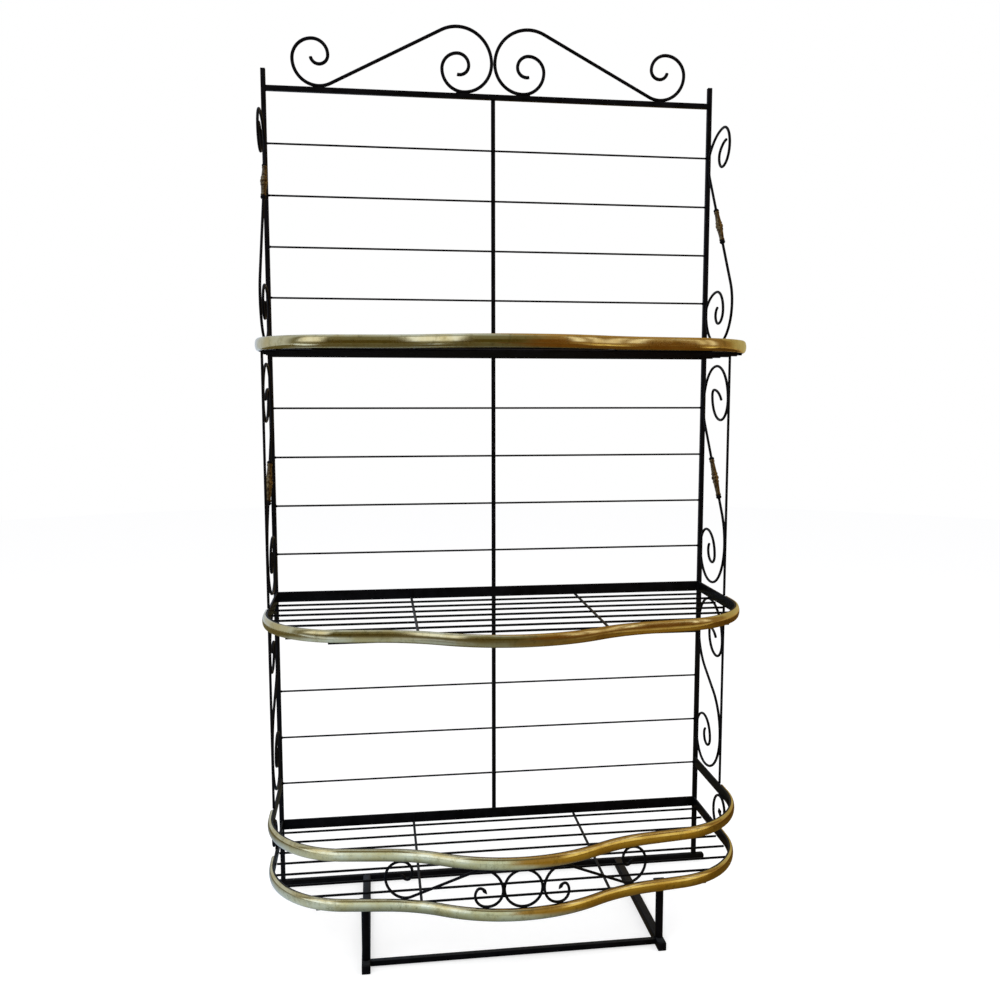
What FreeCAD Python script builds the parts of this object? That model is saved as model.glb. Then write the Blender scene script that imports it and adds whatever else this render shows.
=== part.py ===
import FreeCAD, Part
import math
import os
import re

import Sketcher

# A bakers rack of black iron bar with brass trim: a tall square-bar back frame with a scrolled crest, three
# bow-fronted wire shelves, S-scrolls between the back frame and round front posts, a gallery rail on an apron
# of scrolls above the lowest shelf, and two runners on the floor.
# +X is the rack's right as seen from the front, -Y is the front, +Z is up. The origin is on the floor, in the
# middle of the overall width and depth. Inside each piece Y is counted from the plane of the uprights, and the
# piece's own placement carries it back to that plane.

document = FreeCAD.newDocument("BakersRack")
sheet = document.addObject("Spreadsheet::Sheet", "Sizes")
derived = document.addObject("App::VarSet", "Derived")

# Driving dimensions in millimetres and degrees.
drivingSizes = {
    # back frame
    "clearWidth": 1067.0,
    "barSide": 11.0,
    "uprightTop": 1994.7,
    "topRailTop": 1957.0,
    "topRailHeight": 12.0,
    "centreBarWidth": 10.0,
    "flatThickness": 4.8,
    "backRodDiameter": 4.0,
    "backRodPitch": 118.6,
    "upperRodRise": 122.6,
    "middleRodRise": 106.4,
    "lowerRodRise": 107.9,
    # shelves and gallery, each height at the middle of its bar
    "shelfTopHeight": 1348.0,
    "shelfMiddleHeight": 746.5,
    "shelfBottomHeight": 163.0,
    "galleryHeight": 274.5,
    "flatHeight": 25.4,
    "frameInset": 2.0,
    "frameDepth": 508.4,
    "bulgeRadius": 363.0,
    "hollowRadius": 368.0,
    "cornerRadius": 190.0,
    "bulgeAngle": 27.0,
    "straightAngle": 7.5,
    "gridRodDiameter": 5.5,
    "gridRodPitch": 55.2,
    "gridRodEndGap": 0.1,
    "gridRodStartTop": 22.0,
    "gridRodStartMiddle": 29.0,
    "gridRodStartBottom": 15.0,
    "crossbarPlace": 208.0,
    "crossbarWidth": 6.0,
    "stripThickness": 3.0,
    "trimHeight": 27.0,
    "trimDepth": 7.3,
    "trimLead": 4.5,
    # posts and side scrolls
    "panelInset": 0.9,
    "postDiameter": 6.0,
    "postLead": 43.4,
    "scrollWire": 6.35,
    "upperLowRadius": 92.6,
    "upperHighRadius": 79.0,
    "upperHighDrop": 144.7,
    "middleLowGap": 12.156,
    "middleHighGap": 20.62,
    "lowerLowGap": 6.943,
    "lowerHighGap": 0.349,
    "collarDiameter": 13.5,
    "collarWaist": 10.2,
    "collarBead": 5.0,
    "upperCollarLength": 87.0,
    "middleCollarLength": 110.0,
    "upperCollarLeftGap": 4.0,
    "upperCollarRightLead": 10.0,
    "middleCollarDrop": 24.6,
    # crest
    "crestWire": 8.0,
    "crestInnerRadius": 82.0,
    "crestOuterRadius": 60.0,
    "crestOuterInset": 121.5,
    # gallery
    "apronWire": 6.0,
    "apronClearance": 1.1,
    "apronInnerPlace": 85.5,
    "apronOuterPlace": 246.0,
    "galleryCurlLean": 42.7,
    "galleryCurlLead": 18.8,
    # base
    "baseTubeDiameter": 19.0,
    "baseTubeWall": 1.5,
    "baseOverhang": 23.5,
    "endCapDepth": 6.0,
    "runnerPlace": 329.0,
    "runnerInset": 90.4,
    "runnerCapDepth": 4.0,
    "legDiameter": 17.5,
    "legRodGap": 1.0,
    "legPlateWidth": 25.0,
    "baseCrossbarSide": 12.0,
}
for row, (alias, size) in enumerate(drivingSizes.items(), start=1):
    sheet.set(f"A{row}", alias)
    sheet.set(f"B{row}", str(size))
    sheet.setAlias(f"B{row}", alias)
owners = {alias: "Sizes" for alias in drivingSizes}
derived.addProperty("App::PropertyFloat", "reading")
document.recompute()


def formula(text):
    # An expression in which every size name carries the name of the object that holds it.
    def withOwner(match):
        word = match.group()
        return f"{owners[word]}.{word}" if word in owners else word

    return re.sub(r"[A-Za-z]\w*", withOwner, str(text))


def number(text):
    derived.setExpression("reading", formula(text))
    derived.recompute()
    return derived.reading


def derive(name, text):
    derived.addProperty("App::PropertyFloat", name)
    derived.setExpression(name, formula(text))
    owners[name] = "Derived"
    derived.recompute()


# The plane of the uprights, and the frame bar's plan curve: a bulge about the middle, then a hollow, a straight
# and a corner into the side bar. Depths are counted forward from the uprights.
derive("backPlane", "(frameDepth + flatThickness / 2 + trimDepth - baseTubeDiameter / 2) / 2")
derive("uprightPlace", "(clearWidth + barSide) / 2")
derive("uprightFace", "barSide / 2")
derive("sidePlane", "uprightPlace - frameInset")
derive("panelPlane", "uprightPlace - panelInset")
derive("baseHalfLength", "uprightPlace + uprightFace + baseOverhang")
derive("crestOuterPlace", "clearWidth / 2 - crestOuterInset")
derive("bulgeCentre", "frameDepth - bulgeRadius")
derive("hollowCentreAcross", "(bulgeRadius + hollowRadius) * sin(bulgeAngle * 1deg)")
derive("hollowCentreDepth", "bulgeCentre + (bulgeRadius + hollowRadius) * cos(bulgeAngle * 1deg)")
derive("straightAcross", "hollowCentreAcross - hollowRadius * sin(straightAngle * 1deg)")
derive("straightDepth", "hollowCentreDepth - hollowRadius * cos(straightAngle * 1deg)")
derive("cornerAcross", "sidePlane - cornerRadius")
derive("cornerEndAcross", "cornerAcross + cornerRadius * sin(straightAngle * 1deg)")
derive("cornerEndDepth", "straightDepth - (cornerEndAcross - straightAcross) * tan(straightAngle * 1deg)")
derive("cornerDepth", "cornerEndDepth - cornerRadius * cos(straightAngle * 1deg)")

# The posts stand behind the corners, and the legs close behind the lowest shelf's last rod, counted from the back.
# The runners end short of the bulge.
derive("postSetback", "cornerDepth - postLead")
derive("galleryCurlStart", "postSetback - galleryCurlLead")
derive("lastGridRod",
       "gridRodStartBottom + floor((cornerEndDepth - gridRodStartBottom) / gridRodPitch) * gridRodPitch")
derive("legSetback", "lastGridRod - gridRodDiameter / 2 / cos(30deg) - legDiameter / 2 - legRodGap")
derive("runnerFront", "frameDepth - runnerInset")

# The side scrolls lie between the upright's front face and the post's back.
derive("scrollRear", "uprightFace + scrollWire / 2")
derive("scrollFront", "postSetback - postDiameter / 2 - scrollWire / 2")
derive("scrollRadius", "(scrollFront - scrollRear) / 2")
derive("galleryGap", "galleryHeight - shelfBottomHeight - flatHeight")
derive("galleryMiddle", "(galleryHeight + shelfBottomHeight) / 2")
derive("apronRadius", "(galleryGap - apronWire) / 2")

nodes = []


def keep(piece, label):
    piece.Label = label
    nodes.append(piece)
    return piece


def place(piece, x="0", y="backPlane", z="0"):
    for axis, text in (("x", x), ("y", y), ("z", z)):
        piece.setExpression(f"Placement.Base.{axis}", formula(text))


def newBody(label):
    return keep(document.addObject("PartDesign::Body", label), label)


def originPart(body, role):
    return next(part for part in body.Origin.OriginFeatures if part.Role == role)


def newSketch(body, name, role, offset="0"):
    sketch = body.newObject("Sketcher::SketchObject", name)
    sketch.AttachmentSupport = (originPart(body, role), [""])
    sketch.MapMode = "FlatFace"
    sketch.setExpression("AttachmentOffset.Base.z", formula(offset))
    return sketch


def bind(sketch, kind, *elements, size):
    # A dimension of a sketch, tied to a formula of the named sizes.
    start = math.radians(number(size)) if kind == "Angle" else number(size)
    index = sketch.addConstraint(Sketcher.Constraint(kind, *elements, start))
    sketch.setExpression(f"Constraints[{index}]", formula(size))


def locate(sketch, element, point, x, y):
    # Sets a point's distances from the sketch's origin, whichever side of it the point lies on.
    for kind, axis, size in (("DistanceX", -2, x), ("DistanceY", -1, y)):
        reading = number(size)
        if abs(reading) < 1e-9:
            sketch.addConstraint(Sketcher.Constraint("PointOnObject", element, point, axis))
        elif reading > 0:
            bind(sketch, kind, -1, 1, element, point, size=size)
        else:
            bind(sketch, kind, element, point, -1, 1, size=f"-({size})")


def vector(x, y):
    return FreeCAD.Vector(x, y, 0)


def addLine(sketch, start, end):
    return sketch.addGeometry(Part.LineSegment(start, end), False)


def addArc(sketch, centre, radius, startAngle, endAngle):
    circle = Part.Circle(centre, FreeCAD.Vector(0, 0, 1), radius)
    return sketch.addGeometry(Part.ArcOfCircle(circle, math.radians(startAngle), math.radians(endAngle)), False)


def addOutline(sketch, corners):
    # A closed outline of straight sides through the corners, each corner given as two formulas.
    points = [vector(number(x), number(y)) for x, y in corners]
    lines = [addLine(sketch, point, points[(k + 1) % len(points)]) for k, point in enumerate(points)]
    for k, line in enumerate(lines):
        sketch.addConstraint(Sketcher.Constraint("Coincident", line, 2, lines[(k + 1) % len(lines)], 1))
        locate(sketch, line, 1, *corners[k])


def addRectangle(sketch, width, height, x="0", y="0"):
    left, right = f"({x}) - ({width}) / 2", f"({x}) + ({width}) / 2"
    low, high = f"({y}) - ({height}) / 2", f"({y}) + ({height}) / 2"
    addOutline(sketch, [(left, low), (right, low), (right, high), (left, high)])


def addCircle(sketch, diameter, x="0", y="0"):
    centre = vector(number(x), number(y))
    circle = sketch.addGeometry(Part.Circle(centre, FreeCAD.Vector(0, 0, 1), number(diameter) / 2), False)
    locate(sketch, circle, 3, x, y)
    bind(sketch, "Diameter", circle, size=diameter)


def pad(body, sketch, length, midplane=False):
    feature = body.newObject("PartDesign::Pad", "Pad")
    feature.Profile = sketch
    feature.setExpression("Length", formula(length))
    feature.Midplane = midplane
    sketch.Visibility = False
    return feature


def sweep(body, profile, path):
    document.recompute()
    pipe = body.newObject("PartDesign::AdditivePipe", "Pipe")
    pipe.Profile = profile
    pipe.Spine = (path, [])


def sweepWire(body, path, diameter):
    # Sweeps a scroll's wire along the path, from the path's first edge. Its section is a square of the wire's
    # diameter, which keeps the many bends light.
    document.recompute()
    profile = body.newObject("Sketcher::SketchObject", "WireSection")
    profile.AttachmentSupport = (path, ["Edge1"])
    profile.MapMode = "NormalToEdge"
    addRectangle(profile, diameter, diameter)
    sweep(body, profile, path)


def addCurl(sketch, arc, angle, radius, turns):
    # Winds a curl on from the end of an arc, anticlockwise. Each turn is a share of the radius and an angle.
    for share, span in turns:
        last = sketch.Geometry[arc]
        direction = vector(math.cos(math.radians(angle)), math.sin(math.radians(angle)))
        size = f"{radius} * {share}"
        centre = last.Center + direction * (last.Radius - number(size))
        turn = addArc(sketch, centre, number(size), angle, angle + span)
        sketch.addConstraint(Sketcher.Constraint("Tangent", arc, 2, turn, 1))
        bind(sketch, "Radius", turn, size=size)
        bind(sketch, "Angle", turn, size=span)
        arc = turn
        angle += span


def stemAngle(low, high):
    # The direction from each circle's centre at which the stem between the two circles leaves the first one.
    across = number(f"({high[0]}) - ({low[0]})")
    up = number(f"({high[1]}) - ({low[1]})")
    reach = number(f"({low[2]}) + ({high[2]})")
    return math.degrees(math.atan2(up, across) + math.acos(reach / math.hypot(across, up)))


def addScroll(sketch, low, high, lowTurns, highTurns):
    # An S-scroll: a straight stem that touches two circles on opposite sides, each running on into a curl.
    # A circle is given as the formulas of its centre's two coordinates and its radius.
    angle = stemAngle(low, high)
    quarter = 90 * math.ceil(angle / 90)
    arcs = []
    for circle, start, end in ((low, angle, quarter), (high, angle - 180, quarter - 180)):
        centre = vector(number(circle[0]), number(circle[1]))
        arc = addArc(sketch, centre, number(circle[2]), start, end)
        locate(sketch, arc, 3, circle[0], circle[1])
        bind(sketch, "Radius", arc, size=circle[2])
        level = "Horizontal" if end % 180 == 0 else "Vertical"
        sketch.addConstraint(Sketcher.Constraint(level, arc, 3, arc, 2))
        arcs.append(arc)
    stem = addLine(sketch, sketch.Geometry[arcs[0]].StartPoint, sketch.Geometry[arcs[1]].StartPoint)
    for end, arc in enumerate(arcs, start=1):
        sketch.addConstraint(Sketcher.Constraint("Tangent", stem, end, arc, 1))
    addCurl(sketch, arcs[0], quarter, low[2], lowTurns)
    addCurl(sketch, arcs[1], quarter - 180, high[2], highTurns)


def mirrored(source, label):
    # The left-hand twin of a right-hand piece, across the rack's middle plane.
    twin = document.addObject("Part::Mirroring", label)
    twin.Source = source
    twin.Normal = (1, 0, 0)
    return keep(twin, label)


def group(label, pieces):
    compound = document.addObject("Part::Compound", label)
    compound.Links = pieces
    place(compound)
    return keep(compound, label)


def box(name, sizes, corner):
    piece = document.addObject("Part::Box", name)
    for side, size in zip(("Length", "Width", "Height"), sizes):
        piece.setExpression(side, formula(size))
    place(piece, *corner)
    return piece


def thinRod(name, diameter, length, start, turn):
    # A thin rod from its starting point, with six flats in place of a round surface. The turn lays its axis.
    piece = document.addObject("Part::Prism", name)
    piece.Polygon = 6
    piece.setExpression("Circumradius", formula(f"{diameter} / 2 / cos(30deg)"))
    piece.setExpression("Height", formula(length))
    piece.Placement.Rotation = turn
    place(piece, *start)
    return piece


upward = FreeCAD.Rotation()
across = FreeCAD.Rotation(FreeCAD.Vector(0, 1, 0), 90)
acrossFlatTop = across * FreeCAD.Rotation(FreeCAD.Vector(0, 0, 1), 30)

# Back frame. Each upright's foot is coped to sit on the round base rail.
for side, sign in (("left", "-"), ("right", "")):
    upright = newBody(f"upright_{side}")
    outline = newSketch(upright, "Outline", "YZ_Plane")
    half = number("uprightFace")
    radius = number("baseTubeDiameter / 2")
    lift = math.sqrt(radius ** 2 - half ** 2)
    spread = math.degrees(math.acos(half / radius))
    top = number("uprightTop")
    foot = addArc(outline, vector(0, radius), radius, spread, 180 - spread)
    front = addLine(outline, vector(-half, radius + lift), vector(-half, top))
    head = addLine(outline, vector(-half, top), vector(half, top))
    back = addLine(outline, vector(half, top), vector(half, radius + lift))
    for first, second in (((foot, 2), (front, 1)), ((front, 2), (head, 1)), ((head, 2), (back, 1)),
                          ((back, 2), (foot, 1))):
        outline.addConstraint(Sketcher.Constraint("Coincident", *first, *second))
    locate(outline, foot, 3, "0", "baseTubeDiameter / 2")
    bind(outline, "Radius", foot, size="baseTubeDiameter / 2")
    locate(outline, head, 1, "-uprightFace", "uprightTop")
    locate(outline, head, 2, "uprightFace", "uprightTop")
    outline.addConstraint(Sketcher.Constraint("Vertical", front))
    outline.addConstraint(Sketcher.Constraint("Vertical", back))
    pad(upright, outline, "barSide", midplane=True)
    place(upright, x=f"{sign}uprightPlace")

topRail = newBody("top_rail")
section = newSketch(topRail, "Section", "YZ_Plane")
addRectangle(section, "barSide", "topRailHeight", y="topRailTop - topRailHeight / 2")
pad(topRail, section, "clearWidth", midplane=True)
place(topRail)

centreBar = newBody("centre_bar")
section = newSketch(centreBar, "Section", "XY_Plane", offset="shelfBottomHeight - flatHeight / 2")
addRectangle(section, "centreBarWidth", "flatThickness", y="flatThickness")
pad(centreBar, section, "topRailTop - topRailHeight - shelfBottomHeight + flatHeight / 2")
place(centreBar)

# Back rods, as many as leave a pitch under the rail above.
for level, shelf, ceiling in (("upper", "shelfTopHeight", "topRailTop - topRailHeight"),
                              ("middle", "shelfMiddleHeight", "shelfTopHeight - flatHeight / 2"),
                              ("lower", "shelfBottomHeight", "shelfMiddleHeight - flatHeight / 2")):
    rods = []
    lowest = f"({shelf} + {level}RodRise)"
    for k in range(int(number(f"({ceiling} - {lowest} + backRodDiameter) / backRodPitch"))):
        start = ("-clearWidth / 2", "flatThickness / 2 - backRodDiameter / 2", f"{lowest} + {k} * backRodPitch")
        rods.append(thinRod(f"BackRod_{level}_{k}", "backRodDiameter", "clearWidth", start, across))
    group(f"back_rods_{level}", rods)

# Crest: a scroll of heavier wire on each half of the top rail, standing on two of its own bends.
innerTurns = [(1, 90), (0.82, 90), (0.63, 90), (0.45, 90), (0.33, 90), (0.29, 80)]
outerTurns = [(1, 90), (0.77, 90), (0.6, 90), (0.35, 90), (0.32, 80)]
crest = newBody("crest_scroll_right")
path = newSketch(crest, "Path", "XZ_Plane")
crestSeat = "topRailTop + crestWire / 2"
inner = ("crestWire / 2 + crestInnerRadius", f"{crestSeat} + crestInnerRadius * {innerTurns[1][0]}",
         "crestInnerRadius")
outer = ("crestOuterPlace", f"{crestSeat} + crestOuterRadius", "crestOuterRadius")
addScroll(path, inner, outer, innerTurns, outerTurns)
sweepWire(crest, path, "crestWire")
place(crest)
mirrored(crest, "crest_scroll_left")


def addFramePath(sketch, sideStart):
    # The plan curve of a frame bar, from the depth at which its side bars begin.
    bulgeAngle = number("bulgeAngle")
    straightAngle = number("straightAngle")
    bulge = addArc(sketch, vector(0, -number("bulgeCentre")), number("bulgeRadius"), 270 - bulgeAngle,
                   270 + bulgeAngle)
    locate(sketch, bulge, 3, "0", "-bulgeCentre")
    bind(sketch, "Radius", bulge, size="bulgeRadius")
    bind(sketch, "Angle", bulge, size="2 * bulgeAngle")
    sketch.addConstraint(Sketcher.Constraint("Horizontal", bulge, 1, bulge, 2))
    for sign, bulgeEnd in ((1, 2), (-1, 1)):
        hollowCentre = vector(sign * number("hollowCentreAcross"), -number("hollowCentreDepth"))
        straightStart = vector(sign * number("straightAcross"), -number("straightDepth"))
        straightEnd = vector(sign * number("cornerEndAcross"), -number("cornerEndDepth"))
        cornerCentre = vector(sign * number("cornerAcross"), -number("cornerDepth"))
        sideX = sign * number("sidePlane")
        if sign > 0:
            hollow = addArc(sketch, hollowCentre, number("hollowRadius"), 90 + straightAngle, 90 + bulgeAngle)
        else:
            hollow = addArc(sketch, hollowCentre, number("hollowRadius"), 90 - bulgeAngle, 90 - straightAngle)
        straight = addLine(sketch, straightStart, straightEnd)
        if sign > 0:
            corner = addArc(sketch, cornerCentre, number("cornerRadius"), straightAngle - 90, 0)
        else:
            corner = addArc(sketch, cornerCentre, number("cornerRadius"), 180, 270 - straightAngle)
        side = addLine(sketch, vector(sideX, -number("cornerDepth")), vector(sideX, -number(sideStart)))
        inward, outward = (2, 1) if sign > 0 else (1, 2)
        sketch.addConstraint(Sketcher.Constraint("Tangent", bulge, bulgeEnd, hollow, inward))
        bind(sketch, "Radius", hollow, size="hollowRadius")
        bind(sketch, "Angle", hollow, size="bulgeAngle - straightAngle")
        sketch.addConstraint(Sketcher.Constraint("Tangent", hollow, outward, straight, 1))
        sketch.addConstraint(Sketcher.Constraint("Tangent", straight, 2, corner, outward if sign < 0 else 1))
        bind(sketch, "Radius", corner, size="cornerRadius")
        sketch.addConstraint(Sketcher.Constraint("Tangent", corner, 1 if sign < 0 else 2, side, 1))
        sketch.addConstraint(Sketcher.Constraint("Vertical", side))
        locate(sketch, side, 2, f"{sign} * sidePlane", f"-({sideStart})")


def frameBar(label, height):
    bar = newBody(label)
    path = newSketch(bar, "Path", "XY_Plane")
    addFramePath(path, "uprightFace")
    profile = newSketch(bar, "Section", "XZ_Plane", offset="uprightFace")
    addRectangle(profile, "flatThickness", "flatHeight", x="sidePlane")
    sweep(bar, profile, path)
    place(bar, z=height)


def brassTrim(label, height):
    # Half-round strip, in four flats, along the outer face of a frame bar from just ahead of one front post to
    # the other.
    trim = newBody(label)
    path = newSketch(trim, "Path", "XY_Plane")
    trimStart = "postSetback + postDiameter / 2 + trimLead"
    addFramePath(path, trimStart)
    profile = newSketch(trim, "Section", "XZ_Plane", offset=trimStart)
    face = "sidePlane + flatThickness / 2"
    shoulder = f"{face} + trimDepth * 0.76"
    addOutline(profile, [(face, "-trimHeight / 2"), (shoulder, "-trimHeight / 4"), (f"{face} + trimDepth", "0"),
                         (shoulder, "trimHeight / 4"), (face, "trimHeight / 2")])
    sweep(trim, profile, path)
    place(trim, z=height)


def gridRods(label, height, first):
    # Rods under the frame bar, as many as end under it, just clear of the side scrolls and posts. Those ahead of
    # the side bars end under the corner's curve.
    rods = []
    for k in range(int(number(f"(cornerEndDepth - {first}) / gridRodPitch")) + 1):
        depth = f"({first} + {k} * gridRodPitch)"
        reach = "(panelPlane - scrollWire / 2 - gridRodEndGap)"
        if number(depth) > number("cornerDepth"):
            reach = f"(cornerAcross + sqrt(cornerRadius * cornerRadius - ({depth} - cornerDepth) ^ 2))"
        start = (f"-{reach}", f"-{depth}", f"{height} - flatHeight / 2 - gridRodDiameter / 2")
        rods.append(thinRod(f"{label}_{k}", "gridRodDiameter", f"2 * {reach}", start, acrossFlatTop))
    group(label, rods)


def crossbars(label, height):
    # Flat strips on the grid rods, turned up against the rear rail, that end at the frame bar's inner face.
    bars = newBody(label)
    bars.AllowCompound = True
    profile = newSketch(bars, "Profile", "YZ_Plane", offset="-crossbarPlace")
    edge = "(hollowCentreAcross - crossbarPlace - crossbarWidth / 2)"
    barDepth = f"hollowCentreDepth - sqrt(hollowRadius * hollowRadius - {edge} ^ 2)"
    innerFace = f"-({barDepth} - flatThickness / 2 / cos(asin({edge} / hollowRadius)))"
    rear = "-flatThickness / 2"
    addOutline(profile, [(rear, "-flatHeight / 2"), (innerFace, "-flatHeight / 2"),
                         (innerFace, "stripThickness - flatHeight / 2"),
                         (f"{rear} - stripThickness", "stripThickness - flatHeight / 2"),
                         (f"{rear} - stripThickness", "flatHeight / 2"), (rear, "flatHeight / 2")])
    first = pad(bars, profile, "crossbarWidth", midplane=True)
    pattern = bars.newObject("PartDesign::LinearPattern", "BothSides")
    pattern.Originals = [first]
    pattern.Direction = (originPart(bars, "X_Axis"), [""])
    pattern.setExpression("Length", formula("2 * crossbarPlace"))
    pattern.Occurrences = 2
    bars.Tip = pattern
    place(bars, z=height)


for shelf, height, firstRod in (("top", "shelfTopHeight", "gridRodStartTop"),
                                ("middle", "shelfMiddleHeight", "gridRodStartMiddle"),
                                ("bottom", "shelfBottomHeight", "gridRodStartBottom")):
    rail = newBody(f"shelf_{shelf}_rear_rail")
    section = newSketch(rail, "Section", "YZ_Plane")
    addRectangle(section, "flatThickness", "flatHeight")
    pad(rail, section, "clearWidth", midplane=True)
    place(rail, z=height)
    frameBar(f"shelf_{shelf}_frame_bar", height)
    brassTrim(f"shelf_{shelf}_brass_trim", height)
    gridRods(f"shelf_{shelf}_grid_rods", height, firstRod)
    crossbars(f"shelf_{shelf}_crossbars", height)

frameBar("gallery_frame_bar", "galleryHeight")
brassTrim("gallery_brass_trim", "galleryHeight")

# Front posts stand on one bar's top edge and carry the next bar's bottom edge.
for level, below, above in (("upper", "shelfMiddleHeight", "shelfTopHeight"),
                            ("lower", "galleryHeight", "shelfMiddleHeight")):
    for side, sign in (("left", "-"), ("right", "")):
        start = (f"{sign}panelPlane", "backPlane - postSetback", f"{below} + flatHeight / 2")
        label = f"front_post_{level}_{side}"
        keep(thinRod(label, "postDiameter", f"{above} - {below} - flatHeight", start, upward), label)

# Side scrolls, in the panel between an upright and the front posts. The low loop runs on from its front, the
# high one from its back. In the two lower panels a loop fills the panel's depth and keeps a gap to the bar
# beyond it: of its shares of the panel's half depth, the first two eighth turns reach towards the bar, and the
# quarter turn after them brings it across. The circle at which a stem ends is a share of the circles' distance.
upperSeat = "shelfTopHeight + flatHeight / 2 + scrollWire / 2 + upperLowRadius"


def reaching(first, second):
    # How far a loop's two eighth turns reach past the circle at which the stem ends.
    return round(first * math.sqrt(0.5) + second * (1 - math.sqrt(0.5)), 4)


def panelLoops(level, floor, lowShare, lowTurns, ceiling, highShare, highTurns):
    # The circles at which a stem ends, and the turns of both loops, as shares of those circles.
    lowReach, highReach = (reaching(turns[0][0], turns[1][0]) for turns in (lowTurns, highTurns))
    derive(f"{level}LowHeight", f"{floor} + scrollWire / 2 + {lowReach} * scrollRadius + {level}LowGap")
    derive(f"{level}HighHeight", f"{ceiling} - scrollWire / 2 - {highReach} * scrollRadius - {level}HighGap")
    derive(f"{level}LowRadius", f"({level}HighHeight - {level}LowHeight) * {lowShare}")
    derive(f"{level}HighRadius", f"({level}HighHeight - {level}LowHeight) * {highShare}")
    return ((f"{level}LowRadius - scrollFront", f"{level}LowHeight", f"{level}LowRadius"),
            (f"-(scrollRear + {level}HighRadius)", f"{level}HighHeight", f"{level}HighRadius"),
            [(f"{share} * scrollRadius / {level}LowRadius", span) for share, span in lowTurns],
            [(f"{share} * scrollRadius / {level}HighRadius", span) for share, span in highTurns])


def spanning(first, second):
    # The quarter turn that brings a loop to the panel's other side, after two eighth turns.
    return round(2 - first * (1 - math.sqrt(0.5)) - second * math.sqrt(0.5), 4)


panels = {
    "upper": (("-(scrollRear + upperLowRadius)", upperSeat, "upperLowRadius"),
              ("-(scrollRear + upperHighRadius)", "topRailTop - upperHighDrop", "upperHighRadius"),
              [(1, 135), (0.86, 45), (0.22, 45), (1.08, 45), (0.49, 90), (0.34, 90), (0.22, 90), (0.21, 70)],
              [(0.43, 45), (1.61, 45), (0.57, 90), (0.57, 90), (0.32, 90), (0.25, 45), (0.8, 42)]),
    "middle": panelLoops(
        "middle", "shelfMiddleHeight + flatHeight / 2", 0.417222,
        [(1.32, 45), (0.96, 45), (spanning(1.32, 0.96), 90), (0.55, 90), (0.68, 90), (0.22, 90), (0.33, 90),
         (0.22, 50)],
        "shelfTopHeight - flatHeight / 2", 0.250333,
        [(1.19, 45), (1, 45), (spanning(1.19, 1), 90), (0.56, 90), (0.7, 90), (0.14, 90), (0.79, 50)]),
    "lower": panelLoops(
        "lower", "galleryHeight + flatHeight / 2", 0.496549,
        [(1.24, 45), (1.15, 45), (spanning(1.24, 1.15), 90), (0.62, 90), (0.57, 90), (0.25, 90), (0.26, 90),
         (0.22, 50)],
        "shelfMiddleHeight - flatHeight / 2", 0.496549,
        [(0.94, 45), (0.95, 45), (spanning(0.94, 0.95), 90), (0.47, 90), (0.59, 90), (0.12, 90), (0.56, 50)]),
}
for level, (low, high, lowTurns, highTurns) in panels.items():
    scroll = newBody(f"side_scroll_{level}_right")
    path = newSketch(scroll, "Path", "YZ_Plane")
    addScroll(path, low, high, lowTurns, highTurns)
    sweepWire(scroll, path, "scrollWire")
    place(scroll, x="panelPlane")
    mirrored(scroll, f"side_scroll_{level}_left")


def collar(label, length, sign, place, low, high):
    # A brass sleeve threaded on a scroll's stem, eight-sided, with a bead near each end and one at the middle. Its
    # place is counted along the stem from the stem's middle.
    sleeve = newBody(label)
    ends = f"({length} / 2)"
    rings = [(f"-{ends}", "collarWaist"), (f"collarBead - {ends}", "collarDiameter"),
             (f"-{ends} / 2", "collarWaist"), ("0", "collarDiameter"), (f"{ends} / 2", "collarWaist"),
             (f"{ends} - collarBead", "collarDiameter"), (ends, "collarWaist")]
    sections = []
    for k, (offset, width) in enumerate(rings):
        section = newSketch(sleeve, f"Ring{k}", "XY_Plane", offset=offset)
        flat = f"{width} / 2"
        edge = f"{width} / 2 * tan(22.5deg)"
        addOutline(section, [(flat, f"-{edge}"), (flat, edge), (edge, flat), (f"-{edge}", flat),
                             (f"-{flat}", edge), (f"-{flat}", f"-{edge}"), (f"-{edge}", f"-{flat}"),
                             (edge, f"-{flat}")])
        sections.append(section)
    loft = sleeve.newObject("PartDesign::AdditiveLoft", "Beads")
    loft.Profile = sections[0]
    loft.Sections = sections[1:]
    loft.Ruled = True
    bore = newSketch(sleeve, "Bore", "XY_Plane")
    addRectangle(bore, "scrollWire", "scrollWire")
    pocket = sleeve.newObject("PartDesign::Pocket", "StemBore")
    pocket.Profile = bore
    pocket.Type = "ThroughAll"
    pocket.Midplane = True
    radians = math.radians(stemAngle(low, high))
    # The stem's middle lies midway between the points where it touches the two circles.
    swing = (number(low[2]) - number(high[2])) / 2
    y = number(f"(({low[0]}) + ({high[0]})) / 2") + swing * math.cos(radians) + number(place) * math.sin(radians)
    z = number(f"(({low[1]}) + ({high[1]})) / 2") + swing * math.sin(radians) - number(place) * math.cos(radians)
    lean = FreeCAD.Rotation(FreeCAD.Vector(1, 0, 0), math.degrees(radians) - 180)
    base = FreeCAD.Vector(sign * number("panelPlane"), number("backPlane") + y, z)
    sleeve.Placement = FreeCAD.Placement(base, lean)


upperLow, upperHigh = panels["upper"][:2]
stemHalf = (f"sqrt((({upperHigh[0]}) - ({upperLow[0]})) ^ 2 + (({upperHigh[1]}) - ({upperLow[1]})) ^ 2"
            f" - (({upperLow[2]}) + ({upperHigh[2]})) ^ 2) / 2")
upperPlaces = {"left": f"{stemHalf} - upperCollarLength / 2 - upperCollarLeftGap", "right": "upperCollarRightLead"}
for side, sign in (("left", -1), ("right", 1)):
    collar(f"brass_collar_upper_{side}", "upperCollarLength", sign, upperPlaces[side], *panels["upper"][:2])
    collar(f"brass_collar_middle_{side}", "middleCollarLength", sign, "-middleCollarDrop", *panels["middle"][:2])

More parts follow.
